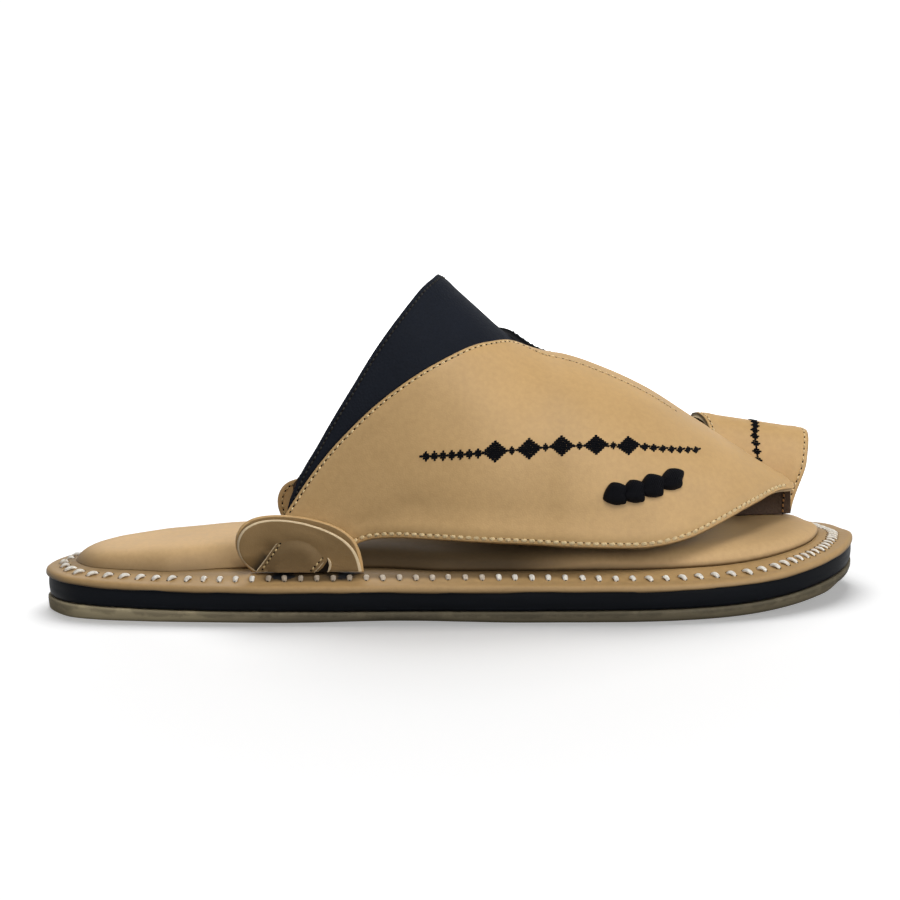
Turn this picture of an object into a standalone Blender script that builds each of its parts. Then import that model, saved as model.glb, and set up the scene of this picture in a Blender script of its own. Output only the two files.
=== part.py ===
"""Arabic sandal for the right foot: a flat stitched sole with a padded footbed, a tan leather
wing that runs from the outer side over the instep and down between the toes, a loop for the
big toe, and black leather panels under and behind the wing.

Frame: +X to the toe, +Y to the inner (medial) side of the foot, +Z up, origin on the floor at
the middle of the sole's box. Sizes below are millimetres; the mesh is in metres.
"""
import math
from collections import namedtuple

import bmesh
import bpy
import numpy as np
from mathutils import Vector

MM = 0.001

# Driving dimensions
FIT_GAP = 0.3               # between pieces that meet
OUTSOLE_THICK = 4.0         # at the ball
HEEL_EXTRA = 1.2            # more outsole under the heel
MIDSOLE_THICK = 7.4
WELT_THICK = 3.8
SEAM_MARGIN = 12.5          # welt left bare round the footbed
WELT_FALL = 1.3             # the margin slopes down to the edge
PANEL_THICK = 1.6           # black leather
WING_THICK = 1.8            # tan leather
LAYER_GAP = 0.5             # between the panel and the wings over it
LOOP_THICK = 1.8
EAR_THICK = 3.0             # two layers of tan leather
TAIL_THICK = 1.6
KNOT_HEIGHT = 2.4

# Heel to toe
TOE_SPRING = 6.4            # lift of the sole at the tip of the toe
SPRING_START_X = 52.0
SPRING_END_X = 146.0
SPRING_POWER = 4.0          # most of the lift is near the tip
ARCH_RISE = 0.8             # under the waist of the sole
ARCH_START_X = -62.0
ARCH_END_X = 26.0
HEEL_START_X = -86.0        # behind here the outsole thickens
HEEL_RUN = 60.0

# Mesh fineness
OUTLINE_STEPS = 24          # between two rows of the sole's plan
SOLE_STATIONS = 45
SPINE_HEEL_X = -104.0       # the sole's rings shrink towards a spine between these stations
SPINE_TOE_X = 96.0
WING_COLUMNS = 11
MEDIAL_STATIONS = 30
MEDIAL_COLUMNS = 9
PANEL_ROWS = 14
PANEL_STEPS = 37
LOOP_ROWS = 8
LOOP_STEPS = 19
TAB_ARC_POINTS = 21
EAR_BASE_POINTS = 4
TAB_BASE_POINTS = 5
KNOT_POINTS = 16
SMALL_X = 0.4               # steps for the slope of the last
SMALL_TURN = 0.4
SHARP_EDGE = math.radians(40)

# Colours, linear
TAN = (0.52, 0.34, 0.17)
NAVY_BLACK = (0.018, 0.020, 0.028)
CORD_BLACK = (0.010, 0.010, 0.012)
RUBBER_BLACK = (0.012, 0.013, 0.017)
OLIVE = (0.20, 0.17, 0.10)

PlanRow = namedtuple("PlanRow", "x y")
# Outline of the sole seen from above, from the back of the heel round the outer side
SOLE_PLAN = [
    PlanRow(-145.6, -4.0),
    PlanRow(-140.4, -18.0),
    PlanRow(-129.0, -26.5),
    PlanRow(-105.0, -33.0),
    PlanRow(-60.0, -40.0),
    PlanRow(-10.0, -45.0),
    PlanRow(35.0, -49.3),
    PlanRow(72.0, -51.5),
    PlanRow(100.0, -48.0),
    PlanRow(121.0, -38.5),
    PlanRow(138.0, -22.5),
    PlanRow(145.2, -3.5),
    PlanRow(143.2, 9.5),
    PlanRow(138.0, 24.5),
    PlanRow(124.0, 39.5),
    PlanRow(98.0, 49.5),
    PlanRow(65.0, 51.5),
    PlanRow(25.0, 47.0),
    PlanRow(-20.0, 42.0),
    PlanRow(-60.0, 40.0),
    PlanRow(-105.0, 35.0),
    PlanRow(-128.0, 26.0),
    PlanRow(-140.4, 12.5),
]

EdgeRing = namedtuple("EdgeRing", "inset face lift")
# Side of each layer of the sole: distance in from the plan, and height from its bottom or top
OUTSOLE_EDGE = [
    EdgeRing(1.5, "bottom", 0.0),
    EdgeRing(0.6, "bottom", 0.9),
    EdgeRing(0.4, "top", -0.4),
    EdgeRing(0.8, "top", 0.0),
]
MIDSOLE_EDGE = [
    EdgeRing(1.2, "bottom", 0.0),
    EdgeRing(0.7, "bottom", 1.0),
    EdgeRing(0.7, "top", -1.0),
    EdgeRing(1.2, "top", 0.0),
]
WELT_EDGE = [
    EdgeRing(0.8, "bottom", 0.0),
    EdgeRing(0.0, "bottom", 1.0),
    EdgeRing(0.0, "top", -WELT_FALL - 1.2),
    EdgeRing(0.5, "top", -WELT_FALL - 0.4),
    EdgeRing(1.8, "top", -WELT_FALL),
    EdgeRing(11.5, "top", 0.0),
]

PadRow = namedtuple("PadRow", "x height")
# Height of the footbed over the welt
PAD_HEIGHT = [
    PadRow(-140.0, 4.4),
    PadRow(-118.0, 6.0),
    PadRow(-95.0, 7.8),
    PadRow(-70.0, 8.8),
    PadRow(-10.0, 8.4),
    PadRow(60.0, 6.6),
    PadRow(105.0, 6.3),
    PadRow(140.0, 4.3),
]
RoomRow = namedtuple("RoomRow", "x room")
# More bare welt on the outer side, where the straps come down beside the footbed
STRAP_ROOM = [
    RoomRow(-100.0, 0.0),
    RoomRow(-78.0, 5.2),
    RoomRow(-28.0, 5.2),
    RoomRow(-4.0, 0.0),
]
PadRing = namedtuple("PadRing", "inset share")
# Rounded edge of the footbed: distance in from its rim, share of its height
PAD_EDGE = [
    PadRing(0.0, 0.0),
    PadRing(0.0, 0.22),
    PadRing(1.0, 0.48),
    PadRing(3.2, 0.74),
    PadRing(7.5, 0.93),
    PadRing(14.0, 1.0),
]

LastRow = namedtuple("LastRow", "x ridge_z ridge_y lateral_y medial_y")
# Sections of the last that the leather lies on
LAST = [
    LastRow(-78.0, 186.0, 7.0, -22.5, 32.0),
    LastRow(-60.0, 170.0, 7.0, -23.5, 32.0),
    LastRow(-30.0, 142.0, 7.0, -27.5, 32.5),
    LastRow(0.0, 112.2, 7.0, -34.8, 35.5),
    LastRow(10.0, 102.6, 7.0, -37.0, 36.5),
    LastRow(20.0, 93.1, 7.0, -38.5, 38.0),
    LastRow(28.0, 86.6, 7.0, -39.5, 39.0),
    LastRow(35.0, 83.4, 7.0, -40.5, 40.0),
    LastRow(42.0, 81.7, 7.0, -41.5, 41.0),
    LastRow(56.0, 76.2, 7.0, -42.0, 42.5),
    LastRow(70.0, 69.1, 6.5, -41.5, 43.0),
    LastRow(85.0, 59.0, 5.5, -37.0, 42.0),
    LastRow(100.0, 49.0, 4.5, -27.5, 40.0),
    LastRow(110.0, 42.0, 4.0, -18.0, 38.0),
    LastRow(126.0, 31.5, 4.0, -2.0, 36.0),
]

EdgeRow = namedtuple("EdgeRow", "x height")
# Lower edge of a wing, as a height on the last
WING_LOWER = [
    EdgeRow(-58.0, 16.2),
    EdgeRow(-42.0, 16.2),
    EdgeRow(-36.0, 20.5),
    EdgeRow(-31.0, 26.0),
    EdgeRow(-24.0, 27.8),
    EdgeRow(-15.0, 28.3),
    EdgeRow(-3.0, 27.9),
    EdgeRow(25.0, 26.4),
    EdgeRow(52.0, 24.8),
    EdgeRow(66.0, 24.3),
    EdgeRow(80.0, 26.0),
    EdgeRow(94.0, 30.0),
    EdgeRow(106.0, 32.8),
    EdgeRow(116.0, 33.8),
    EdgeRow(123.0, 32.8),
]

SpanRow = namedtuple("SpanRow", "start_x end_x steps")
# Stations along the tan wing, closer together where its inner edge turns down to the post
WING_SPANS = [
    SpanRow(-58.0, 84.0, 34),
    SpanRow(84.0, 106.0, 11),
    SpanRow(106.0, 123.0, 6),
]

BandRow = namedtuple("BandRow", "x degrees")
# Upper edge of the tan wing, as an angle round the last: 0 outer side, 90 ridge, 180 post foot
WING_UPPER = [
    BandRow(-58.0, 7.0),
    BandRow(-44.0, 15.0),
    BandRow(-30.0, 24.9),
    BandRow(-15.0, 35.9),
    BandRow(0.0, 48.9),
    BandRow(13.0, 64.0),
    BandRow(27.0, 84.0),
    BandRow(42.0, 93.0),
    BandRow(60.0, 95.5),
    BandRow(86.0, 99.0),
    BandRow(93.0, 116.0),
    BandRow(99.0, 145.0),
    BandRow(105.0, 172.0),
    BandRow(123.0, 172.0),
]
# Upper edge of the black medial wing, as an angle from the inner side
MEDIAL_UPPER = [
    BandRow(-58.0, 7.0),
    BandRow(-44.0, 15.0),
    BandRow(-30.0, 24.0),
    BandRow(-15.0, 34.5),
    BandRow(0.0, 48.0),
    BandRow(12.0, 62.0),
    BandRow(18.0, 77.5),
    BandRow(22.0, 87.5),
    BandRow(26.5, 89.0),
    BandRow(32.0, 84.5),
    BandRow(42.0, 80.5),
    BandRow(60.0, 80.0),
    BandRow(84.0, 79.5),
]
# Lower edge of the medial wing, as a height on the last
MEDIAL_LOWER = [
    EdgeRow(-58.0, 16.2),
    EdgeRow(-42.0, 16.2),
    EdgeRow(-36.0, 22.0),
    EdgeRow(-31.0, 29.0),
    EdgeRow(25.0, 28.0),
    EdgeRow(50.0, 29.0),
    EdgeRow(66.0, 35.0),
    EdgeRow(77.0, 46.0),
    EdgeRow(84.0, 58.0),
]
# Rear and front edges of the instep panel, by the angle from either side
PanelRow = namedtuple("PanelRow", "degrees lateral_rear_x medial_rear_x front_x")
PANEL = [
    PanelRow(0.2, -58.5, -58.5, -40.0),
    PanelRow(8.0, -56.5, -55.0, -33.0),
    PanelRow(12.5, -52.4, -47.0, -20.0),
    PanelRow(19.0, -44.2, -36.0, -6.0),
    PanelRow(33.0, -29.6, -19.0, 16.0),
    PanelRow(52.0, -15.3, -7.0, 46.0),
    PanelRow(64.0, -9.2, -5.0, 62.0),
    PanelRow(78.0, -4.2, -3.2, 74.0),
    PanelRow(84.0, -3.0, -2.4, 76.5),
    PanelRow(90.0, -1.4, -1.4, 78.0),
]

# Toe post and loop for the big toe
POST_START_X = 80.0         # past here the wing's inner edge turns down to the post
POST_TURN = 16.0            # length of that turn
POST_FOOT_Y = 9.0
LOOP_LATERAL_Y = 13.4
LOOP_MEDIAL_Y = 38.8
LOOP_FULLNESS = 0.8
LoopRow = namedtuple("LoopRow", "around rear_x front_x")
# Edges of the loop from its foot at the post (0) over the toe to its inner foot (1)
LOOP = [
    LoopRow(0.0, 105.0, 125.0),
    LoopRow(0.2, 98.5, 131.2),
    LoopRow(0.42, 94.5, 132.6),
    LoopRow(0.6, 90.5, 131.5),
    LoopRow(0.8, 92.5, 129.0),
    LoopRow(1.0, 97.5, 124.0),
]
LOOP_TOP_REAR_Z = 57.8
LOOP_TOP_FRONT_Z = 50.6

# Ears: half-moon tabs that the wings pass through
EarRow = namedtuple("EarRow", "x rise")
# Outline of the outer ear over the welt, from its front foot over the crown to its rear foot
EAR_OUTLINE = [
    EarRow(-29.4, 0.0),
    EarRow(-29.8, 3.8),
    EarRow(-30.6, 7.8),
    EarRow(-32.3, 11.6),
    EarRow(-35.6, 14.7),
    EarRow(-40.6, 17.2),
    EarRow(-47.8, 19.2),
    EarRow(-55.0, 20.2),
    EarRow(-61.5, 20.4),
    EarRow(-67.5, 19.6),
    EarRow(-71.6, 17.4),
    EarRow(-73.8, 13.8),
    EarRow(-74.2, 10.0),
    EarRow(-73.2, 6.2),
    EarRow(-71.4, 2.8),
    EarRow(-69.2, 0.0),
]
MEDIAL_EAR_FORWARD = 11.0   # the inner ear stands further to the toe
TAIL_MID_X = -55.5
TAIL_HALF_LENGTH = 11.5
TAIL_TOP_Z = 29.5
TAIL_LEAN = 2.5
TAIL_BULGE = 1.0
TAB_RINGS = (0.15, 0.6, 1.0)  # rings of a tab's faces, as shares of its outline

KnotRow = namedtuple("KnotRow", "x height")
# Padded black knots on the wing
KNOTS = [
    KnotRow(57.2, 41.9),
    KnotRow(63.4, 42.1),
    KnotRow(69.5, 43.3),
    KnotRow(75.8, 44.7),
]
KNOT_HALF_WIDTH = 2.75
KNOT_HALF_TALL = 3.7
KNOT_POWER = 1.4            # 1 is a sharp diamond, 2 is round
KnotRing = namedtuple("KnotRing", "share rise")
# Dome of a knot: share of its outline, share of its height
KNOT_DOME = [
    KnotRing(0.9, 0.0),
    KnotRing(1.0, 0.2),
    KnotRing(0.86, 0.62),
    KnotRing(0.55, 0.92),
    KnotRing(0.2, 1.0),
]

PARTS_NAME = "arabic_sandal"


def clear_scene():
    for old in list(bpy.data.objects):
        bpy.data.objects.remove(old, do_unlink=True)


def finish(name, rgb, roughness):
    """Material of one piece."""
    mat = bpy.data.materials.new(name)
    mat.use_nodes = True
    shader = mat.node_tree.nodes["Principled BSDF"]
    shader.inputs["Base Color"].default_value = (*rgb, 1.0)
    shader.inputs["Roughness"].default_value = roughness
    shader.inputs["Metallic"].default_value = 0.0
    mat.diffuse_color = (*rgb, 1.0)
    return mat


def smooth_column(table, column, key="x"):
    """Function of the key that runs smoothly through one column of a table."""
    at = np.array([getattr(row, key) for row in table])
    value = np.array([getattr(row, column) for row in table])
    step = np.diff(at)
    rise = np.diff(value) / step
    slope = np.empty_like(value)
    slope[0] = rise[0]
    slope[-1] = rise[-1]
    same_sign = rise[:-1] * rise[1:] > 0
    mean = 2 * rise[:-1] * rise[1:] / np.where(same_sign, rise[:-1] + rise[1:], 1.0)
    slope[1:-1] = np.where(same_sign, mean, 0.0)

    def read(where):
        where = min(max(where, at[0]), at[-1])
        i = min(int(np.searchsorted(at, where, side="right")) - 1, len(step) - 1)
        s = (where - at[i]) / step[i]
        start = value[i] * (1 + 2 * s) + slope[i] * step[i] * s
        end = value[i + 1] * (3 - 2 * s) - slope[i + 1] * step[i] * (1 - s)
        return float(start * (1 - s) ** 2 + end * s ** 2)
    return read


def ease(share):
    """Smooth step from 0 to 1."""
    share = min(max(share, 0.0), 1.0)
    return share * share * (3 - 2 * share)


def sole_outline():
    """Points round the sole, centred on its own box, in pairs that share a station across it."""
    knots = np.array(SOLE_PLAN)
    count = len(knots)
    fine = []
    for i in range(count):
        before, here, after, beyond = (knots[(i + k) % count] for k in (-1, 0, 1, 2))
        for s in np.linspace(0.0, 1.0, OUTLINE_STEPS, endpoint=False):
            bend = (2 * before - 5 * here + 4 * after - beyond) * s ** 2
            twist = (3 * here - before - 3 * after + beyond) * s ** 3
            fine.append(0.5 * (2 * here + (after - before) * s + bend + twist))
    fine = np.array(fine)
    fine -= (fine.min(axis=0) + fine.max(axis=0)) / 2
    fine = np.roll(fine, -int(fine[:, 0].argmin()), axis=0)
    toe = int(fine[:, 0].argmax())
    lateral = fine[:toe + 1]
    medial = np.vstack([fine[toe:], fine[:1]])[::-1]
    heel_x = fine[0, 0]
    toe_x = fine[toe, 0]
    turns = np.linspace(0.0, math.pi, SOLE_STATIONS)
    stations = heel_x + (toe_x - heel_x) * (1 - np.cos(turns)) / 2
    near = [(x, float(np.interp(x, lateral[:, 0], lateral[:, 1]))) for x in stations]
    far = [(x, float(np.interp(x, medial[:, 0], medial[:, 1]))) for x in stations]
    return near + far[-2:0:-1]


def sole_rise(x):
    """Height of the underside of the sole: flat at heel and ball, lifted at waist and toe."""
    spring = max(0.0, (x - SPRING_START_X) / (SPRING_END_X - SPRING_START_X))
    waist = (x - ARCH_START_X) / (ARCH_END_X - ARCH_START_X)
    arch = math.sin(math.pi * waist) ** 2 if 0.0 < waist < 1.0 else 0.0
    return TOE_SPRING * spring ** SPRING_POWER + ARCH_RISE * arch


def outsole_top(x):
    """Top of the outsole, which thickens towards the heel and fills the arch."""
    spring = max(0.0, (x - SPRING_START_X) / (SPRING_END_X - SPRING_START_X))
    heel = ease((HEEL_START_X - x) / HEEL_RUN)
    return OUTSOLE_THICK + HEEL_EXTRA * heel + TOE_SPRING * spring ** SPRING_POWER


def midsole_bottom(x):
    return outsole_top(x) + FIT_GAP


def midsole_top(x):
    return midsole_bottom(x) + MIDSOLE_THICK


def welt_bottom(x):
    return midsole_top(x) + FIT_GAP


def welt_top(x):
    return welt_bottom(x) + WELT_THICK


pad_height = smooth_column(PAD_HEIGHT, "height")
strap_room = smooth_column(STRAP_ROOM, "room")


def bed_top(x):
    """Just over the middle of the footbed, where the toe straps go in."""
    return welt_top(x) + FIT_GAP + pad_height(x) + FIT_GAP


ridge_z = smooth_column(LAST, "ridge_z")
ridge_y = smooth_column(LAST, "ridge_y")
lateral_y = smooth_column(LAST, "lateral_y")
medial_y = smooth_column(LAST, "medial_y")


def last_base(x, degrees, post):
    """Point of the last at station x: an arch of two quarter ellipses that meet at the ridge."""
    turn = math.radians(degrees)
    foot_z = welt_top(x)
    if degrees <= 90.0:
        side_y = lateral_y(x)
    else:
        dive = ease((x - POST_START_X) / POST_TURN) if post else 0.0
        side_y = medial_y(x) + dive * (POST_FOOT_Y - medial_y(x))
    y = ridge_y(x) + (side_y - ridge_y(x)) * abs(math.cos(turn))
    z = foot_z + (ridge_z(x) - foot_z) * math.sin(turn)
    return np.array([x, y, z])


def last_point(x, degrees, lift=0.0, post=False):
    """Point of the last, lifted along its outward normal."""
    along = last_base(x + SMALL_X, degrees, post) - last_base(x - SMALL_X, degrees, post)
    low = max(degrees - SMALL_TURN, 0.0)
    high = min(degrees + SMALL_TURN, 180.0)
    around = last_base(x, high, post) - last_base(x, low, post)
    normal = np.cross(along, around)
    return last_base(x, degrees, post) + lift * normal / np.linalg.norm(normal)


def degrees_at(x, height):
    """Angle from the side at which the last reaches a height."""
    share = (height - welt_top(x)) / (ridge_z(x) - welt_top(x))
    return math.degrees(math.asin(min(max(share, 0.0), 1.0)))


def new_object(name, bm, material, collection):
    mesh = bpy.data.meshes.new(name)
    bm.to_mesh(mesh)
    bm.free()
    mesh.materials.append(material)
    mesh.shade_smooth()
    mesh.set_sharp_from_angle(angle=SHARP_EDGE)
    piece = bpy.data.objects.new(name, mesh)
    collection.objects.link(piece)
    return piece


def add_rows(bm, rows, closed):
    """Quads between rows of points; closed rows join end to start."""
    verts = [[bm.verts.new(Vector(p) * MM) for p in row] for row in rows]
    for low, high in zip(verts, verts[1:]):
        count = len(low)
        for j in range(count if closed else count - 1):
            k = (j + 1) % count
            bm.faces.new((low[j], low[k], high[k], high[j]))
    return verts


def fill_across(bm, ring):
    """Strips across a ring whose points are paired from side to side."""
    count = len(ring)
    half = count // 2
    for i in range(half):
        corners = (ring[i], ring[i + 1], ring[count - i - 1], ring[-i])
        bm.faces.new(list(dict.fromkeys(corners)))


def ring_solid(name, rings, material, collection):
    """Solid through closed rings, with its first and last ring filled."""
    bm = bmesh.new()
    verts = add_rows(bm, rings, closed=True)
    fill_across(bm, verts[0])
    fill_across(bm, verts[-1])
    bmesh.ops.recalc_face_normals(bm, faces=bm.faces)
    return new_object(name, bm, material, collection)


def sheet(name, rows, thickness, material, collection):
    """Leather piece: an open surface, thickened outward."""
    bm = bmesh.new()
    add_rows(bm, [list(row) for row in zip(*rows)], closed=False)
    piece = new_object(name, bm, material, collection)
    solidify = piece.modifiers.new("leather", "SOLIDIFY")
    solidify.thickness = thickness * MM
    solidify.offset = 1.0
    return piece


def sole_ring(outline, inset, height, lift=0.0, room=None):
    """Ring of the sole, moved in from its edge, at a height that follows x."""
    ring = []
    for x, y in outline:
        step = inset + (room(x) if room and y < 0.0 else 0.0)
        spine = np.array([min(max(x, SPINE_HEEL_X), SPINE_TOE_X), 0.0])
        inward = spine - (x, y)
        px, py = np.array([x, y]) + inward / np.linalg.norm(inward) * step
        ring.append((px, py, height(px) + lift))
    return ring


def make_layer(name, outline, edge, bottom, top, material, collection):
    """Layer of the sole through the rings of its side."""
    faces = {"bottom": bottom, "top": top}
    rings = [sole_ring(outline, row.inset, faces[row.face], row.lift) for row in edge]
    return ring_solid(name, rings, material, collection)


def make_footbed(outline, collection):
    """Padded leather footbed inside the seam."""
    rings = []
    for row in PAD_EDGE:
        def level(x, share=row.share):
            return welt_top(x) + FIT_GAP + share * pad_height(x)
        rings.append(sole_ring(outline, SEAM_MARGIN + row.inset, level, room=strap_room))
    return ring_solid("footbed", rings, finish("footbed_leather", TAN, 0.6), collection)


def make_sole(collection):
    outline = sole_outline()
    olive = finish("outsole_rubber", OLIVE, 0.75)
    black = finish("midsole_rubber", RUBBER_BLACK, 0.55)
    tan = finish("welt_leather", TAN, 0.6)
    make_layer("outsole", outline, OUTSOLE_EDGE, sole_rise, outsole_top, olive, collection)
    make_layer("midsole", outline, MIDSOLE_EDGE, midsole_bottom, midsole_top, black, collection)
    make_layer("welt", outline, WELT_EDGE, welt_bottom, welt_top, tan, collection)
    make_footbed(outline, collection)


def wing_stations():
    stations = [WING_SPANS[0].start_x]
    for span in WING_SPANS:
        stations.extend(np.linspace(span.start_x, span.end_x, span.steps + 1)[1:])
    return stations


def wing_rows():
    """Rows of the tan wing from its lower to its upper edge, station by station."""
    low = smooth_column(WING_LOWER, "height")
    high = smooth_column(WING_UPPER, "degrees")
    lift = PANEL_THICK + LAYER_GAP
    rows = []
    for x in wing_stations():
        start = degrees_at(x, low(x))
        end = min(high(x), 180.0 - degrees_at(x, bed_top(x)))
        turns = np.linspace(start, end, WING_COLUMNS)
        rows.append([last_point(x, turn, lift, post=True) for turn in turns])
    return rows


def loop_rows():
    """Rows of the toe loop from its rear to its front edge."""
    rear = smooth_column(LOOP, "rear_x", key="around")
    front = smooth_column(LOOP, "front_x", key="around")
    mid_y = (LOOP_LATERAL_Y + LOOP_MEDIAL_Y) / 2
    half = (LOOP_MEDIAL_Y - LOOP_LATERAL_Y) / 2
    mid_rear = rear(0.5)
    slope = (LOOP_TOP_FRONT_Z - LOOP_TOP_REAR_Z) / (front(0.5) - mid_rear)
    rows = []
    for share in np.linspace(0.0, 1.0, LOOP_ROWS):
        row = []
        for around in np.linspace(0.0, 1.0, LOOP_STEPS):
            x = rear(around) + share * (front(around) - rear(around))
            top = LOOP_TOP_REAR_Z + slope * (x - mid_rear)
            foot = bed_top(x) if around < 0.5 else welt_top(x) + FIT_GAP
            turn = math.pi * around
            y = mid_y - half * math.cos(turn)
            z = foot + (top - foot) * math.sin(turn) ** LOOP_FULLNESS
            row.append(np.array([x, y, z]))
        rows.append(row)
    return rows


def make_upper(collection, joined):
    """Wing, toe post and toe loop, joined where the loop meets the post."""
    tan = finish("wing_leather", TAN, 0.55)
    wing = sheet("upper", wing_rows(), WING_THICK, tan, collection)
    loop = sheet("toe_loop", loop_rows(), LOOP_THICK, tan, joined)
    loop.hide_render = True
    loop.display_type = "WIRE"
    join = wing.modifiers.new("toe loop", "BOOLEAN")
    join.operation = "UNION"
    join.solver = "EXACT"
    join.object = loop
    return wing


def panel_rows():
    """Rows of the black instep panel from the outer ear over the ridge to the inner ear."""
    lateral_rear = smooth_column(PANEL, "lateral_rear_x", key="degrees")
    medial_rear = smooth_column(PANEL, "medial_rear_x", key="degrees")
    front = smooth_column(PANEL, "front_x", key="degrees")
    rows = []
    for share in np.linspace(0.0, 1.0, PANEL_ROWS):
        row = []
        for degrees in np.linspace(PANEL[0].degrees, 180.0 - PANEL[0].degrees, PANEL_STEPS):
            side = min(degrees, 180.0 - degrees)
            rear = medial_rear(side) if degrees > 90.0 else lateral_rear(side)
            x = rear + share * (front(side) - rear)
            row.append(last_point(x, degrees))
        rows.append(row)
    return rows


def make_instep_panel(collection):
    black = finish("panel_leather", NAVY_BLACK, 0.6)
    return sheet("instep_panel", panel_rows(), PANEL_THICK, black, collection)


def make_medial_wing(collection):
    """Black wing on the inner side, which meets the tan wing along the ridge."""
    low = smooth_column(MEDIAL_LOWER, "height")
    high = smooth_column(MEDIAL_UPPER, "degrees")
    lift = PANEL_THICK + LAYER_GAP
    rows = []
    for x in np.linspace(MEDIAL_LOWER[0].x, MEDIAL_LOWER[-1].x, MEDIAL_STATIONS):
        turns = np.linspace(180.0 - high(x), 180.0 - degrees_at(x, low(x)), MEDIAL_COLUMNS)
        rows.append([last_point(x, turn, lift) for turn in turns])
    black = finish("medial_leather", NAVY_BLACK, 0.6)
    return sheet("medial_wing", rows, WING_THICK, black, collection)


def tab_outline(mid_x, half_length, foot_z, top_z, lean, bulge):
    """Half-moon standing on its straight edge."""
    points = []
    for turn in np.linspace(0.0, math.pi, TAB_ARC_POINTS):
        rise = max(math.sin(turn), 0.0)
        x = mid_x + half_length * math.cos(turn) + lean * rise ** bulge
        points.append((x, foot_z + (top_z - foot_z) * rise))
    for share in np.linspace(0.0, 1.0, TAB_BASE_POINTS + 2)[1:-1]:
        points.append((mid_x + half_length * (2 * share - 1), foot_z))
    return np.array(points)


def ear_outline(shift, foot_z):
    """Ear standing on its straight edge."""
    points = [(row.x + shift, foot_z + row.rise) for row in EAR_OUTLINE]
    front_x = points[0][0]
    rear_x = points[-1][0]
    for share in np.linspace(0.0, 1.0, EAR_BASE_POINTS + 2)[1:-1]:
        points.append((rear_x + share * (front_x - rear_x), foot_z))
    return np.array(points)


def flank_point(x, height, lift, inner):
    """Point off the side of the last at a station and height."""
    degrees = degrees_at(x, height)
    point = last_point(x, 180.0 - degrees if inner else degrees, lift)
    point[2] = height
    return point


def make_tab(name, outline, lift, thickness, inner, material, collection):
    """Flat leather tab bent to the side of the last."""
    middle = outline.mean(axis=0)
    back = [(lift, share) for share in TAB_RINGS]
    front = [(lift + thickness, share) for share in reversed(TAB_RINGS)]
    rings = []
    for off, share in back + front:
        ring = [middle + share * (p - middle) for p in outline]
        rings.append([flank_point(x, z, off, inner) for x, z in ring])
    return ring_solid(name, rings, material, collection)


def make_ears(collection):
    """An ear on each side, with the end of the strap in front of it."""
    foot = welt_top(EAR_OUTLINE[0].x) + FIT_GAP
    lift = PANEL_THICK + LAYER_GAP + WING_THICK + FIT_GAP
    over = lift + EAR_THICK + FIT_GAP
    for side, inner, tail_rgb in (("lateral", False, TAN), ("medial", True, NAVY_BLACK)):
        shift = MEDIAL_EAR_FORWARD if inner else 0.0
        ear = ear_outline(shift, foot)
        tan = finish(f"ear_{side}_leather", TAN, 0.55)
        make_tab(f"ear_{side}", ear, lift, EAR_THICK, inner, tan, collection)
        tail = tab_outline(TAIL_MID_X + shift, TAIL_HALF_LENGTH, foot, TAIL_TOP_Z, TAIL_LEAN, TAIL_BULGE)
        skin = finish(f"strap_tail_{side}_leather", tail_rgb, 0.55)
        make_tab(f"strap_tail_{side}", tail, over, TAIL_THICK, inner, skin, collection)


def make_knots(collection):
    """Four padded diamonds, sewn to the wing."""
    lift = PANEL_THICK + LAYER_GAP + WING_THICK + FIT_GAP
    for number, row in enumerate(KNOTS, start=1):
        rings = []
        for ring in KNOT_DOME:
            points = []
            for turn in np.linspace(0.0, 2 * math.pi, KNOT_POINTS, endpoint=False):
                across = math.cos(turn)
                up = math.sin(turn)
                corner = (abs(across) ** KNOT_POWER + abs(up) ** KNOT_POWER) ** (-1 / KNOT_POWER)
                x = row.x + ring.share * KNOT_HALF_WIDTH * corner * across
                z = row.height + ring.share * KNOT_HALF_TALL * corner * up
                points.append(last_point(x, degrees_at(x, z), lift + ring.rise * KNOT_HEIGHT))
            rings.append(points)
        black = finish(f"knot_{number}_cord", CORD_BLACK, 0.7)
        ring_solid(f"knot_{number}", rings, black, collection)


def main():
    clear_scene()
    parts = bpy.data.collections.new(PARTS_NAME)
    joined = bpy.data.collections.new(PARTS_NAME + "_joined")
    bpy.context.scene.collection.children.link(parts)
    bpy.context.scene.collection.children.link(joined)
    make_sole(parts)
    make_upper(parts, joined)
    make_instep_panel(parts)
    make_medial_wing(parts)
    make_ears(parts)
    make_knots(parts)


main()
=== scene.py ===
"""Looks of an arabic sandal for the right foot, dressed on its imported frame.

Sizes are millimetres in the shoe's own frame: +X to the toe, +Y to the inner side of the foot,
+Z up from the floor. The tables repeat the shapes of the solids, read here at a finer step.
"""
import math

import bmesh
import bpy
import numpy as np
from mathutils import Matrix, Vector


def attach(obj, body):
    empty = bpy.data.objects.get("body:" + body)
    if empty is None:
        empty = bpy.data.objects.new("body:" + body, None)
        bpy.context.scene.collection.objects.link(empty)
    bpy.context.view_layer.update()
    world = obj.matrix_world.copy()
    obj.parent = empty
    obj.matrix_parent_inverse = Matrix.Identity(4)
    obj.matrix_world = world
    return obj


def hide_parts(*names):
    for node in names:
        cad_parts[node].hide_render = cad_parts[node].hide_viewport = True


MM = 0.001
SEED = 7


def table(columns, *lines):
    """Short table with named columns."""
    return {name: np.array(values, float) for name, values in zip(columns.split(), zip(*lines))}


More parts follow.
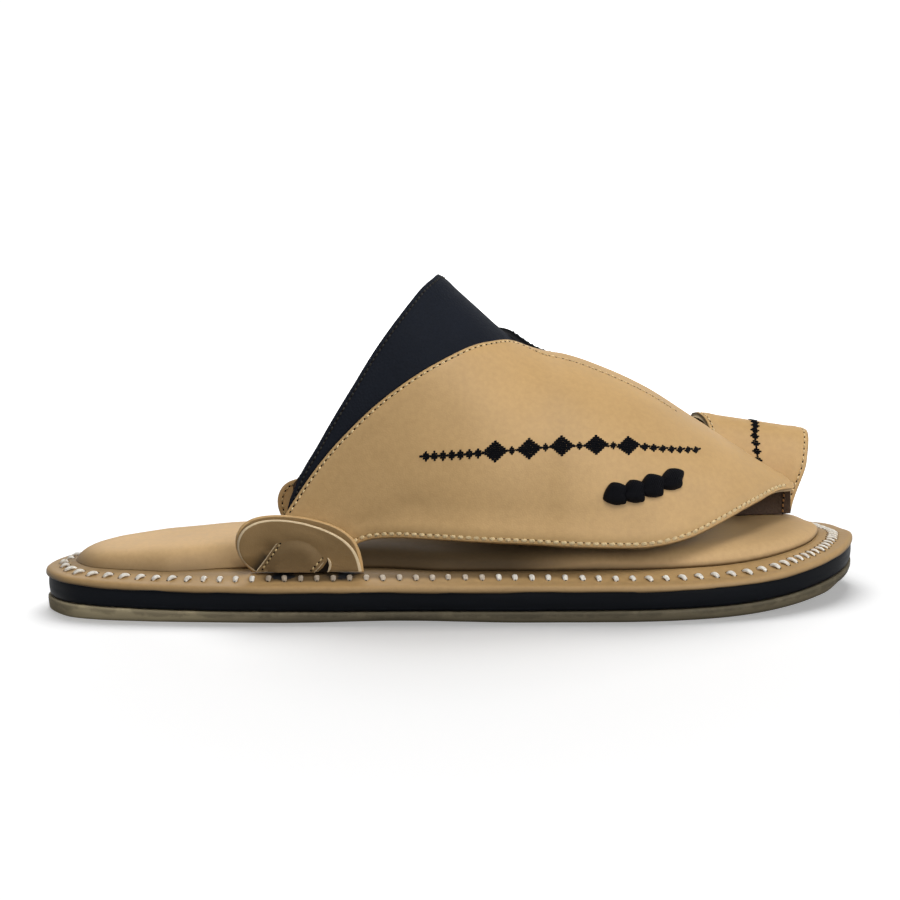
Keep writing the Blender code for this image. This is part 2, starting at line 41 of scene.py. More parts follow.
# Driving dimensions
FIT_GAP = 0.3
OUTSOLE_THICK = 4.0
HEEL_EXTRA = 1.2
MIDSOLE_THICK = 7.4
WELT_THICK = 3.8
SEAM_MARGIN = 12.5
PANEL_THICK = 1.6
WING_THICK = 1.8
LAYER_GAP = 0.5
LOOP_THICK = 1.8
TOE_SPRING = 6.4
SPRING_START_X = 52.0
SPRING_END_X = 146.0
SPRING_POWER = 4.0
ARCH_RISE = 0.8
ARCH_START_X = -62.0
ARCH_END_X = 26.0
HEEL_START_X = -86.0
HEEL_RUN = 60.0
SPINE_HEEL_X = -104.0
SPINE_TOE_X = 96.0
WING_OUTER = PANEL_THICK + LAYER_GAP + WING_THICK

# Outline of the sole seen from above, from the back of the heel round the outer side
SOLE_PLAN = table(
    "x y",
    (-145.6, -4.0), (-140.4, -18.0), (-129.0, -26.5), (-105.0, -33.0), (-60.0, -40.0),
    (-10.0, -45.0), (35.0, -49.3), (72.0, -51.5), (100.0, -48.0), (121.0, -38.5),
    (138.0, -22.5), (145.2, -3.5), (143.2, 9.5), (138.0, 24.5), (124.0, 39.5), (98.0, 49.5),
    (65.0, 51.5), (25.0, 47.0), (-20.0, 42.0), (-60.0, 40.0), (-105.0, 35.0), (-128.0, 26.0),
    (-140.4, 12.5),
)
# Height of the footbed over the welt, and its rounded edge
PAD_HEIGHT = table(
    "x height",
    (-140.0, 4.4), (-118.0, 6.0), (-95.0, 7.8), (-70.0, 8.8), (-10.0, 8.4), (60.0, 6.6),
    (105.0, 6.3), (140.0, 4.3),
)
# More bare welt on the outer side, where the straps come down
STRAP_ROOM = table("x room", (-100.0, 0.0), (-78.0, 5.2), (-28.0, 5.2), (-4.0, 0.0))
PAD_SOFT_X = (-95.0, -55.0)  # behind these stations the footbed's edge slopes softly to the welt
PAD_SOFT_RUN = 3.1
PAD_EDGE = table(
    "inset share",
    (0.0, 0.10), (0.25, 0.26), (1.0, 0.47), (3.2, 0.73), (7.5, 0.92), (14.0, 1.0), (40.0, 1.06),
)
# Sections of the last that the leather lies on
LAST = table(
    "x ridge_z ridge_y lateral_y medial_y",
    (-78.0, 186.0, 7.0, -22.5, 32.0),
    (-60.0, 170.0, 7.0, -23.5, 32.0),
    (-30.0, 142.0, 7.0, -27.5, 32.5),
    (0.0, 112.2, 7.0, -34.8, 35.5),
    (10.0, 102.6, 7.0, -37.0, 36.5),
    (20.0, 93.1, 7.0, -38.5, 38.0),
    (28.0, 86.6, 7.0, -39.5, 39.0),
    (35.0, 83.4, 7.0, -40.5, 40.0),
    (42.0, 81.7, 7.0, -41.5, 41.0),
    (56.0, 76.2, 7.0, -42.0, 42.5),
    (70.0, 69.1, 6.5, -41.5, 43.0),
    (85.0, 59.0, 5.5, -37.0, 42.0),
    (100.0, 49.0, 4.5, -27.5, 40.0),
    (110.0, 42.0, 4.0, -18.0, 38.0),
    (126.0, 31.5, 4.0, -2.0, 36.0),
)
# Edges of the tan wing: height of the lower one, angle of the upper one (90 ridge, 180 post foot)
WING_LOWER = table(
    "x height",
    (-58.0, 16.2), (-42.0, 16.2), (-36.0, 20.5), (-31.0, 26.0), (-24.0, 27.8), (-15.0, 28.3),
    (-3.0, 27.9), (25.0, 26.4), (52.0, 24.8), (66.0, 24.3), (80.0, 26.0), (94.0, 30.0),
    (106.0, 32.8), (116.0, 33.8), (123.0, 32.8),
)
WING_UPPER = table(
    "x degrees",
    (-58.0, 7.0), (-44.0, 15.9), (-30.0, 24.7), (-15.0, 35.3), (0.0, 48.6), (13.0, 64.0),
    (27.0, 84.0), (42.0, 93.0), (60.0, 95.5), (86.0, 99.0), (93.0, 116.0), (99.0, 145.0),
    (105.0, 172.0), (123.0, 172.0),
)
# Edges of the black inner wing, its angles counted from the inner side
MEDIAL_UPPER = table(
    "x degrees",
    (-58.0, 7.0), (-44.0, 15.0), (-30.0, 24.0), (-15.0, 34.5), (0.0, 48.0), (12.0, 62.0),
    (19.5, 77.5), (23.5, 87.5), (27.0, 88.5), (31.5, 84.0), (42.0, 80.5), (60.0, 80.0), (84.0, 79.5),
)
MEDIAL_LOWER = table(
    "x height",
    (-58.0, 16.2), (-42.0, 16.2), (-36.0, 22.0), (-31.0, 29.0), (25.0, 28.0), (50.0, 29.0),
    (66.0, 35.0), (77.0, 46.0), (84.0, 58.0),
)
# Rear and front edges of the instep panel, by the angle from either side
PANEL = table(
    "degrees lateral_rear_x medial_rear_x front_x",
    (0.2, -58.5, -58.5, -40.0),
    (8.0, -56.5, -55.0, -33.0),
    (12.5, -52.4, -47.0, -20.0),
    (19.0, -44.2, -36.0, -6.0),
    (33.0, -29.6, -19.0, 16.0),
    (52.0, -15.3, -7.0, 46.0),
    (64.0, -9.2, -5.0, 62.0),
    (78.0, -4.2, -3.2, 74.0),
    (84.0, -3.0, -2.4, 76.5),
    (90.0, -1.4, -1.4, 78.0),
)
# Toe post and loop for the big toe
POST_START_X = 80.0
POST_TURN = 16.0
POST_FOOT_Y = 9.0
LOOP_LATERAL_Y = 13.4
LOOP_MEDIAL_Y = 38.8
LOOP_FULLNESS = 0.8
LOOP = table(
    "around rear_x front_x",
    (0.0, 105.0, 125.0), (0.2, 98.5, 131.2), (0.42, 94.5, 132.6), (0.6, 90.5, 131.5),
    (0.8, 92.5, 129.0), (1.0, 97.5, 124.0),
)
LOOP_TOP_REAR_Z = 57.8
LOOP_TOP_FRONT_Z = 50.6
# Outlines of an ear's two layers over the welt, from the front foot over the crown to the rear foot
EAR_REAR = table(
    "x rise",
    (-29.4, 0.0), (-29.8, 3.8), (-30.6, 7.8), (-32.3, 11.6), (-35.6, 14.7), (-40.6, 17.2), (-47.8, 19.2),
    (-55.0, 20.2), (-61.5, 20.4), (-67.5, 19.6), (-71.6, 17.4), (-73.8, 13.8), (-74.2, 10.0),
    (-73.2, 6.2), (-71.4, 2.8), (-69.2, 0.0),
)
EAR_FRONT = table(
    "x rise",
    (-29.9, 0.5), (-30.3, 3.0), (-31.2, 6.3), (-33.0, 9.5), (-36.2, 12.5), (-41.2, 15.3), (-48.0, 17.6),
    (-54.8, 18.9), (-61.2, 19.2), (-66.9, 18.4), (-70.9, 16.3), (-73.0, 12.9), (-73.4, 9.3),
    (-72.4, 5.7), (-70.6, 2.7), (-68.4, 0.5),
)
EAR_LIFT = WING_OUTER + FIT_GAP
EAR_LAYER = 1.45
MEDIAL_EAR_FORWARD = 10.0
KNOTS = table(
    "x height half_tall",
    (57.2, 41.9, 4.0), (63.4, 42.2, 4.0), (69.4, 43.4, 4.0), (75.8, 44.6, 3.5),
)

# Soft troughs and ridges of the wing, each along a line from end to end; a ridge has minus depth
CREASES = table(
    "x0 height0 x1 height1 width depth",
    (-46.0, 36.0, -24.0, 54.0, 4.0, 0.22),
    (-40.0, 32.0, -12.0, 46.0, 5.0, -0.20),
    (-32.0, 32.0, -10.0, 39.0, 3.5, 0.20),
    (22.0, 78.0, 40.0, 66.0, 6.0, 0.28),
    (8.0, 74.0, 30.0, 62.0, 7.0, -0.22),
    (60.0, 64.0, 86.0, 50.0, 9.0, 0.25),
    (84.0, 38.0, 104.0, 34.0, 6.0, 0.22),
    (-6.0, 37.0, 60.0, 33.0, 5.0, 0.25),
)
FRONT_LEAN = 1.8  # the wing's front edge stands this far before its station
FRONT_LEAN_X = (104.0, 123.0)
LOWER_FLARE = 1.3  # the wing's lower edge stands off the foot
FLARE_RUN = 13.0
FLARE_X = ((-34.0, -10.0), (122.0, 102.0))  # stations where the flare comes and goes

# Sewing
STITCH_INSET = 1.5  # from a lower or outer edge
UPPER_INSET = 1.1  # from a wing's upper edge
RIDGE_SEAM = 81.0  # highest angle of the wing's seams, on the outer side of the ridge
SEAM_BEND = 1.5  # degrees over which a seam bends to that angle
STITCH_SLANT = 0.12
STITCH_TALL = 0.5
PIT_HALF_WIDTH = 0.33
# Ways of sewing: pitch, share of it that the thread shows, its width, and how far its holes lie to one side
FLAT_SEAM = {"pitch": 2.5, "shown": 0.56, "wide": 0.7, "aside": 0.0}
PLUMP_SEAM = {"pitch": 2.75, "shown": 0.78, "wide": 1.25, "aside": 0.42}
FINE_SEAM = {"pitch": 2.0, "shown": 0.6, "wide": 0.65, "aside": 0.0}
WHIP_PITCH = 5.75
WHIP_CROWD = 1.1  # how much closer together they are at the toe
WHIP_CROWD_X = (106.0, 132.0)
# Ends of the whip stitches, in from the sole's edge
WHIP_ENDS = table(
    "x inner outer",
    (-146.0, 7.7, 5.0), (-120.0, 7.3, 5.0), (-85.0, 7.8, 5.2), (-60.0, 8.6, 5.8), (-20.0, 8.8, 6.1),
    (25.0, 8.7, 6.0), (50.0, 7.8, 5.4), (70.0, 7.3, 5.1), (110.0, 7.3, 5.1), (125.0, 8.5, 5.1),
    (146.0, 9.0, 5.1),
)
SEAM_MIDDLE = 7.0
WHIP_WIDE = 1.8
WHIP_TALL = 1.25
WHIP_TOE_THIN = 0.38
UNDER_EAR = (-65.0, -33.0)  # stations of the stitches under the ear, soiled and darkened as painted shade
# Strength of the painted shade on the welt under the ear
UNDER_EAR_SHADE = 0.88
UNDER_WING = (-32.0, 16.0)  # stations of the stitches under the wing, dimmed as painted shade
# Strength of the painted shade on the welt under the wing
UNDER_WING_SHADE = 0.68
# Stations where the painted shade of the outer side comes and goes, all of it and the part by the ear
WING_LEE = ((-72.0, -62.0), (64.0, 18.0))
EAR_LEE = ((-71.0, -63.0), (-29.0, -37.0))
# How far the outer end of a stitch leans to the toe, on the sides of the sole
WHIP_LEAN = table(
    "x lean", (-146.0, -1.6), (-125.0, -3.0), (-96.0, -2.6),
    (-78.0, -0.5), (-40.0, 0.2), (40.0, 0.6), (70.0, 1.9), (92.0, 3.0), (112.0, 2.6), (128.0, 0.0),
)
# Fall of the welt's margin towards its edge
WELT_FALL = table(
    "x drop",
    (-146.0, 1.7), (-118.0, 2.1), (-60.0, 2.3), (0.0, 2.2), (95.0, 2.6), (146.0, 2.6),
)


def smooth(rows, column=None):
    """Function of a table's first column that runs smoothly through another, by default the second."""
    names = list(rows)
    at = rows[names[0]]
    value = rows[column or names[1]]
    step = np.diff(at)
    rise = np.diff(value) / step
    slope = np.empty_like(value)
    slope[0] = rise[0]
    slope[-1] = rise[-1]
    same_sign = rise[:-1] * rise[1:] > 0
    total = np.where(same_sign, rise[:-1] + rise[1:], 1.0)
    slope[1:-1] = np.where(same_sign, 2 * rise[:-1] * rise[1:] / total, 0.0)

    def read(where):
        where = np.clip(where, at[0], at[-1])
        i = np.clip(np.searchsorted(at, where, side="right") - 1, 0, len(step) - 1)
        s = (where - at[i]) / step[i]
        start = value[i] * (1 + 2 * s) + slope[i] * step[i] * s
        end = value[i + 1] * (3 - 2 * s) - slope[i + 1] * step[i] * (1 - s)
        return start * (1 - s) ** 2 + end * s ** 2
    return read


def ease(share):
    share = np.clip(share, 0.0, 1.0)
    return share * share * (3 - 2 * share)


def soft_step(x, start, end):
    """From 0 at start to 1 at end, softly; end may lie before start."""
    return ease((x - start) / (end - start))


def soft_span(x, span):
    """Soft step up and soft step down again."""
    return soft_step(x, *span[0]) * soft_step(x, *span[1])


def bump_at(distance, width):
    """Soft bell round zero."""
    return np.exp(-(distance / width) ** 2)


def unit(vectors):
    return vectors / np.linalg.norm(vectors, axis=-1, keepdims=True)


# Heights of the sole's layers
def toe_spring(x):
    share = np.maximum(0.0, (x - SPRING_START_X) / (SPRING_END_X - SPRING_START_X))
    return TOE_SPRING * share ** SPRING_POWER


def sole_rise(x):
    waist = np.clip((x - ARCH_START_X) / (ARCH_END_X - ARCH_START_X), 0.0, 1.0)
    return toe_spring(x) + ARCH_RISE * np.sin(np.pi * waist) ** 2


def outsole_top(x):
    return OUTSOLE_THICK + HEEL_EXTRA * ease((HEEL_START_X - x) / HEEL_RUN) + toe_spring(x)


def midsole_bottom(x):
    return outsole_top(x) + FIT_GAP


def welt_top(x):
    return midsole_bottom(x) + MIDSOLE_THICK + FIT_GAP + WELT_THICK


pad_height = smooth(PAD_HEIGHT)
pad_share = smooth(PAD_EDGE)
strap_room = smooth(STRAP_ROOM)


def bed_top(x):
    """Just over the middle of the footbed."""
    return welt_top(x) + FIT_GAP + pad_height(x) + FIT_GAP


# The last
ridge_z, ridge_y, lateral_y, medial_y = (smooth(LAST, name) for name in list(LAST)[1:])


def last_base(x, degrees, post):
    """Point of the last at station x: two quarter ellipses that meet at the ridge."""
    turn = np.radians(degrees)
    foot = welt_top(x)
    dive = ease((x - POST_START_X) / POST_TURN) if post else 0.0
    far_y = medial_y(x) + dive * (POST_FOOT_Y - medial_y(x))
    side_y = np.where(degrees <= 90.0, lateral_y(x), far_y)
    y = ridge_y(x) + (side_y - ridge_y(x)) * np.abs(np.cos(turn))
    z = foot + (ridge_z(x) - foot) * np.sin(turn)
    return np.stack(np.broadcast_arrays(x, y, z), axis=-1)


def last_normal(x, degrees, post=False):
    small = 0.4
    along = last_base(x + small, degrees, post) - last_base(x - small, degrees, post)
    low = np.maximum(degrees - small, 0.0)
    high = np.minimum(degrees + small, 180.0)
    return unit(np.cross(along, last_base(x, high, post) - last_base(x, low, post)))


def last_point(x, degrees, lift, post=False):
    off = np.asarray(lift)[..., None] * last_normal(x, degrees, post)
    return last_base(x, degrees, post) + off


def degrees_at(x, height):
    share = (height - welt_top(x)) / (ridge_z(x) - welt_top(x))
    return np.degrees(np.arcsin(np.clip(share, 0.0, 1.0)))


def edge_scale(x, edge, post=False):
    """Millimetres square to an edge, given as an angle at each station, for each degree off it."""
    small = 0.5
    along = last_base(x + small, edge(x + small), post) - last_base(x - small, edge(x - small), post)
    up = last_base(x, edge(x) + small, post) - last_base(x, edge(x) - small, post)
    return np.linalg.norm(np.cross(unit(along), up), axis=-1)


# Meshes
class Piece:
    """Points and faces of one piece, gathered before its mesh is made."""

    def __init__(self):
        self.points = []
        self.faces = []
        self.slots = []
        self.marks = []
        self.count = 0

    def add_faces(self, faces, slot=0):
        """Faces between points that are in already."""
        self.faces.extend(faces)
        self.slots.extend([slot] * len(faces))

    def add(self, points, faces, slot=0, mark=0.0):
        points = np.asarray(points, float).reshape(-1, 3)
        self.points.append(points)
        self.add_faces((np.asarray(faces) + self.count).tolist(), slot)
        self.marks.append(np.broadcast_to(mark, len(points)))
        self.count += len(points)

    def build(self, name, materials, slot, node=None):
        """Object of the gathered faces, riding on the shoe's one body."""
        mesh = bpy.data.meshes.new(name)
        mesh.from_pydata((np.vstack(self.points) * MM).tolist(), [], self.faces)
        for material in materials:
            mesh.materials.append(material)
        mesh.polygons.foreach_set("material_index", self.slots)
        marks = mesh.attributes.new("edge", "FLOAT", "POINT")
        marks.data.foreach_set("value", np.concatenate(self.marks).astype(np.float32))
        shape = bmesh.new()
        shape.from_mesh(mesh)
        bmesh.ops.recalc_face_normals(shape, faces=shape.faces)
        shape.to_mesh(mesh)
        shape.free()
        mesh.shade_smooth()
        piece = bpy.data.objects.new(name, mesh)
        bpy.context.scene.collection.objects.link(piece)
        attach(piece, "root")
        if node:
            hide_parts(*node)
        return piece


def grid_faces(rows, columns, wrap=False):
    """Quads of a grid of points held row by row; wrap joins the last column to the first."""
    row = np.arange(rows - 1)[:, None] * columns
    column = np.arange(columns if wrap else columns - 1)[None, :]
    after = (column + 1) % columns
    corners = [row + column, row + after, row + columns + after, row + columns + column]
    return np.stack(corners, axis=-1).reshape(-1, 4)


def fill_across(count):
    """Strips across a ring whose points are paired from side to side."""
    faces = []
    for i in range(count // 2):
        corners = (i, i + 1, count - i - 1, (count - i) % count)
        faces.append(list(dict.fromkeys(corners)))
    return faces


def end_caps(start, rings, count):
    """End faces of a tube whose points are held ring by ring."""
    last = start + (rings - 1) * count
    return [[start + k for k in range(count)][::-1], [last + k for k in range(count)]]


RIM_TURNS = np.radians([25.0, 60.0, 90.0, 120.0, 155.0])
RIM_BULGE = 0.45


def add_sheet(piece, outer, normal, thickness):
    """Leather sheet with a face, a lining and a rounded cut edge."""
    rows, columns = outer.shape[:2]
    if np.sum(np.cross(outer[1, 0] - outer[0, 0], outer[0, 1] - outer[0, 0]) * normal[0, 0]) > 0:
        outer = outer[:, ::-1]
        normal = normal[:, ::-1]
    index = np.arange(rows * columns).reshape(rows, columns)
    loop = np.concatenate([index[0, :-1], index[:-1, -1], index[-1, :0:-1], index[:0:-1, 0]])
    faces = grid_faces(rows, columns)
    start = piece.count
    piece.add(outer, faces[:, ::-1], 0)
    piece.add(outer - thickness * normal, faces, 1)
    edge = outer.reshape(-1, 3)[loop]
    lift = normal.reshape(-1, 3)[loop]
    along = np.roll(edge, -1, axis=0) - np.roll(edge, 1, axis=0)
    out = unit(np.cross(unit(along), lift) + 1e-9)
    middle = edge - lift * thickness / 2
    rings = []
    for turn in RIM_TURNS:
        side = math.sin(turn) * RIM_BULGE * out
        rings.append(middle + math.cos(turn) * thickness / 2 * lift - side)
    count = len(loop)
    first = piece.count
    piece.add(np.array(rings), grid_faces(len(rings), count, wrap=True), 2, 1.0)
    after = np.roll(np.arange(count), -1)
    last = first + (len(rings) - 1) * count
    upper = np.stack([start + loop, start + loop[after], first + after, first + np.arange(count)], -1)
    inner_loop = start + rows * columns + loop
    lower = np.stack([last + np.arange(count), last + after, inner_loop[after], inner_loop], -1)
    piece.add_faces(upper.tolist() + lower.tolist(), 2)


def add_threads(piece, start, end, normal, wide, tall, blunt, slot=0, sink=0.15, sections=7, around=8):
    """Plump threads from point to point, which bow up between their ends; blunt ones hold their width."""
    along = end - start
    side = unit(np.cross(along, normal))
    share = np.linspace(0.0, 1.0, sections)
    bow = np.sin(np.pi * share)
    wide, tall = (np.broadcast_to(size, len(start))[:, None, None, None] for size in (wide, tall))
    plump = np.where((share == 0) | (share == 1), 0.45 * blunt, blunt + (1 - blunt) * bow ** 0.6)
    turns = np.linspace(0.0, 2 * np.pi, around, endpoint=False)
    middle = start[:, None] + along[:, None] * share[None, :, None]
    middle = middle[:, :, None] + normal[:, None, None] * tall * (0.6 * bow - sink)[None, :, None, None]
    across = side[:, None, None] * wide / 2 * (plump[:, None] * np.cos(turns))[None, :, :, None]
    up = normal[:, None, None] * tall / 2 * (plump[:, None] * np.sin(turns))[None, :, :, None]
    points = middle + across + up
    one = grid_faces(sections, around, wrap=True)
    for place, kind in zip(points, np.broadcast_to(slot, len(points)).tolist()):
        first = piece.count
        piece.add(place, one, kind)
        piece.add_faces(end_caps(first, sections, around), kind)


PIT_POINTS = 8
PIT_RISE = 0.06
PIT_DEPTH = 0.25


def add_pits(piece, centre, normal, along, long, wide):
    """Needle holes: shallow lenses set in the leather, drawn out along the seam, dark with painted shade.
    """
    side = np.cross(normal, along)
    turns = np.linspace(0.0, 2 * np.pi, PIT_POINTS, endpoint=False)
    pairs = [(k, (k + 1) % PIT_POINTS) for k in range(PIT_POINTS)]
    faces = [[k, after, PIT_POINTS] for k, after in pairs]
    faces += [[after, k, PIT_POINTS + 1] for k, after in pairs]
    for c, n, a, b in zip(centre, normal, along, side):
        ring = c + long * np.cos(turns)[:, None] * a + wide * np.sin(turns)[:, None] * b
        piece.add(np.vstack([ring, c + PIT_RISE * n, c - PIT_DEPTH * n]), faces)


def even_steps(path, pitch):
    """Places along a path, as shares of its points, an even pitch apart."""
    length = np.concatenate([[0.0], np.cumsum(np.linalg.norm(np.diff(path, axis=0), axis=1))])
    count = max(2, int(round(length[-1] / pitch)))
    return np.interp(np.linspace(0.0, length[-1], count + 1), length, np.arange(len(path)))


def read_rows(values, at):
    """Rows of an array at fractional places."""
    places = np.arange(len(values))
    return np.stack([np.interp(at, places, values[:, k]) for k in range(values.shape[1])], axis=-1)


class Seam:
    """Stitches along paths on the leather, and their needle holes."""

    def __init__(self, pits=None):
        self.threads = Piece()
        self.pits = pits or Piece()

    def sew(self, path, normal, pitch, shown, wide, aside):
        """Row of stitches with a needle hole between each two."""
        at = even_steps(path, pitch)
        points = read_rows(path, at)
        up = unit(read_rows(normal, at))
        along = unit(np.gradient(points, axis=0))
        side = np.cross(up, along)
        rest = (1 - shown) / 2 * pitch
        start = points[:-1] + rest * along[:-1] - STITCH_SLANT * side[:-1]
        end = points[1:] - rest * along[1:] + STITCH_SLANT * side[1:]
        add_threads(self.threads, start, end, up[:-1], wide, STITCH_TALL, blunt=0.7)
        hole = points + 0.05 * up + aside * side
        add_pits(self.pits, hole, up, along, max(0.8 * rest, PIT_HALF_WIDTH), PIT_HALF_WIDTH)

    def build(self, name, threads, slot):
        self.threads.build(f"{name}_stitches", threads, slot)
        self.pits.build(f"{name}_holes", [hole_shade], slot)


def curve_through(knots, steps, closed=False):
    """Smooth curve through points, with a number of steps from each point to the next."""
    first = knots[-1:] if closed else 2 * knots[:1] - knots[1:2]
    last = knots[:2] if closed else 2 * knots[-1:] - knots[-2:-1]
    knots = np.vstack([first, knots, last])
    before, here, after, beyond = (knots[k:len(knots) - 3 + k, None] for k in range(4))
    s = np.linspace(0.0, 1.0, steps, endpoint=False)[None, :, None]
    bend = (2 * before - 5 * here + 4 * after - beyond) * s ** 2
    twist = (3 * here - before - 3 * after + beyond) * s ** 3
    return (0.5 * (2 * here + (after - before) * s + bend + twist)).reshape(-1, knots.shape[1])


# Sole outline
def sole_outline(stations=230, steps=40):
    """Points round the sole in pairs that share a station, centred on the outline's own box."""
    knots = np.stack([SOLE_PLAN["x"], SOLE_PLAN["y"]], axis=-1)
    fine = curve_through(knots, steps, closed=True)
    fine -= (fine.min(axis=0) + fine.max(axis=0)) / 2
    fine = np.roll(fine, -int(fine[:, 0].argmin()), axis=0)
    toe = int(fine[:, 0].argmax())
    lateral = fine[:toe + 1]
    medial = np.vstack([fine[toe:], fine[:1]])[::-1]
    share = (1 - np.cos(np.linspace(0.0, np.pi, stations))) / 2
    x = fine[0, 0] + (fine[toe, 0] - fine[0, 0]) * share
    near = np.stack([x, np.interp(x, lateral[:, 0], lateral[:, 1])], axis=-1)
    far = np.stack([x, np.interp(x, medial[:, 0], medial[:, 1])], axis=-1)
    return np.vstack([near, far[-2:0:-1]])


OUTLINE = sole_outline()
RING_REACH = 0.93  # rings stop short of the sole's spine


def inward(points):
    """Direction from the sole's edge to its spine, and the distance."""
    spine = np.stack([np.clip(points[:, 0], SPINE_HEEL_X, SPINE_TOE_X), np.zeros(len(points))], -1)
    reach = np.linalg.norm(spine - points, axis=1, keepdims=True)
    return (spine - points) / reach, reach


def ring_at(inset):
    """Plan of a ring inside the sole's edge; the inset may differ from point to point."""
    toward, reach = inward(OUTLINE)
    return OUTLINE + toward * np.minimum(np.asarray(inset).reshape(-1, 1), RING_REACH * reach)


def build_layer(rings, marks, name, material, slot, node):
    """Closed layer of the sole through rings of points, from under to over."""
    count = len(OUTLINE)
    piece = Piece()
    mark = np.concatenate([np.broadcast_to(mark, count) for mark in marks])
    piece.add(np.array(rings), grid_faces(len(rings), count, wrap=True), 0, mark)
    top = (len(rings) - 1) * count
    piece.add_faces([face[::-1] for face in fill_across(count)])
    piece.add_faces([[top + v for v in face] for face in fill_across(count)])
    return piece.build(name, [material], slot, [node])


def ripple(xy, seed, scale):
    """Smooth unevenness of handwork, about -1 to 1."""
    x, y = xy.T
    random = np.random.default_rng(seed)
    total = 0.0
    for k in range(1, 5):
        angle = random.uniform(0, 2 * np.pi)
        phase = random.uniform(0, 2 * np.pi)
        wave = 2 * np.pi * k / scale
        total = total + np.sin(wave * (x * math.cos(angle) + y * math.sin(angle)) + phase) / k
    return total / 1.6


# Materials
WHITE = (1.0, 1.0, 1.0)


def shade(rgb, factor):
    return tuple(min(1.0, channel * factor) for channel in rgb)


class Look:
    """Principled material, with short ways to add nodes to it."""

    def __init__(self, name, rgb, roughness, specular):
        self.material = bpy.data.materials.new(name)
        self.material.use_nodes = True
        self.tree = self.material.node_tree
        self.shader = self.tree.nodes["Principled BSDF"]
        self.place = self.node("TexCoord", "Object", {})
        self.set(self.shader, {"Base Color": rgb, "Roughness": roughness, "Specular IOR Level": specular})

    def set(self, node, inputs):
        """Inputs of a node, each a value or another node's output."""
        for name, value in inputs.items():
            socket = node.inputs[name]
            if isinstance(value, bpy.types.NodeSocket):
                self.tree.links.new(value, socket)
            elif socket.type == "RGBA":
                socket.default_value = (*value, 1.0)
            else:
                socket.default_value = value

    def done(self, inputs):
        self.set(self.shader, inputs)
        return self.material

    def node(self, kind, output, inputs, **settings):
        """Output of a new node."""
        node = self.tree.nodes.new("ShaderNode" + kind)
        for name, value in settings.items():
            setattr(node, name, value)
        self.set(node, inputs)
        return node.outputs[output]

    def noise(self, scale, detail, roughness=0.5, place=None):
        inputs = {"Vector": place or self.place, "Scale": scale, "Detail": detail, "Roughness": roughness}
        return self.node("TexNoise", "Fac", inputs)

    def cells(self, scale):
        return self.node("TexVoronoi", "Distance", {"Vector": self.place, "Scale": scale})

    def drawn(self, share):
        """Coordinates that draw a pattern out along the sole."""
        return self.node("Mapping", "Vector", {"Vector": self.place, "Scale": (share, share, 1.0)})

    def mark(self):
        """Mark that the mesh carries on its points."""
        return self.node("Attribute", "Fac", {}, attribute_name="edge")

    def ramp(self, value, *stops):
        """Colour by a value, between two stops of place and colour."""
        colour = self.node("ValToRGB", "Color", {"Fac": value})
        for element, (at, rgb) in zip(colour.node.color_ramp.elements, stops):
            element.position = at
            element.color = (*rgb, 1.0)
        return colour

    def tones(self, value, rgb, dark, light):
        """Colour between two shades, by a noise."""
        return self.ramp(value, (0.3, shade(rgb, dark)), (0.7, shade(rgb, light)))

    def mix(self, share, first, second, blend="MIX"):
        return self.node("Mix", 2, {0: share, 6: first, 7: second}, data_type="RGBA", blend_type=blend)

    def spread(self, value, low, high, from_low=0.3, from_high=0.7):
        """Value mapped from the middle of a noise to a range."""
        inputs = {"Value": value, "From Min": from_low, "From Max": from_high}
        return self.node("MapRange", "Result", {**inputs, "To Min": low, "To Max": high})

    def bump(self, height, distance, strength, below=None):
        inputs = {"Height": height, "Distance": distance * MM, "Strength": strength}
        if below is not None:
            inputs["Normal"] = below
        return self.node("Bump", "Normal", inputs)


def leather(name, rgb, roughness, pore, depth, mottle=0.06, edge_and_shade_rgb=None, paint_rgb=None, specular=0.3):
    """Leather with cloudy colour, pores and a fine grain; its marked places may take a darker tone, the
    edge's own or painted shade, or be smeared with paint.
    """
    look = Look(name, rgb, roughness, specular)
    colour = look.tones(look.noise(34.0, 4.0, 0.55), rgb, 1 - mottle, 1 + mottle)
    specks = look.noise(520.0, 3.0, 0.6)
    tint = look.ramp(specks, (0.35, (0.93, 0.92, 0.90)), (0.65, WHITE))
    colour = look.mix(1.0, colour, tint, "MULTIPLY")
    if edge_and_shade_rgb:
        mark = look.mark()
        # Darker tone by the mark: the edge's own tone, and painted shade where the marks carry shade
        colour = look.mix(mark, colour, edge_and_shade_rgb)
    # Smears of black paint by the mark: along the welt's lower border, and as painted shade where the shade
    # mark is strong
    if paint_rgb:
        smears = look.noise(190.0, 4.0, 0.6, look.drawn(0.4))
        both = look.node("Math", "Value", {0: mark, 1: 0.62, 2: smears}, operation="MULTIPLY_ADD")
        colour = look.mix(look.spread(both, 0.0, 1.0, 1.05, 1.12), colour, paint_rgb)
    rough = look.spread(specks, roughness - 0.06, roughness + 0.08)
    normal = look.bump(look.cells(1000.0 / pore), depth, 0.6)
    normal = look.bump(look.noise(2600.0, 2.0), depth * 0.7, 0.5, normal)
    normal = look.bump(look.noise(70.0, 2.0), 0.18, 0.5, normal)
    return look.done({"Base Color": colour, "Roughness": rough, "Normal": normal})


def thread(name, rgb, roughness, pitch, specular=0.35):
    """Twisted thread: fine slanted ribs and small changes of tone."""
    look = Look(name, rgb, roughness, specular)
    colour = look.tones(look.noise(900.0, 2.0), rgb, 0.8, 1.12)
    inputs = {"Vector": look.place, "Scale": 1000.0 / pitch, "Distortion": 1.0}
    ribs = look.node("TexWave", "Fac", inputs, bands_direction="DIAGONAL")
    return look.done({"Base Color": colour, "Normal": look.bump(ribs, 0.12, 0.7)})


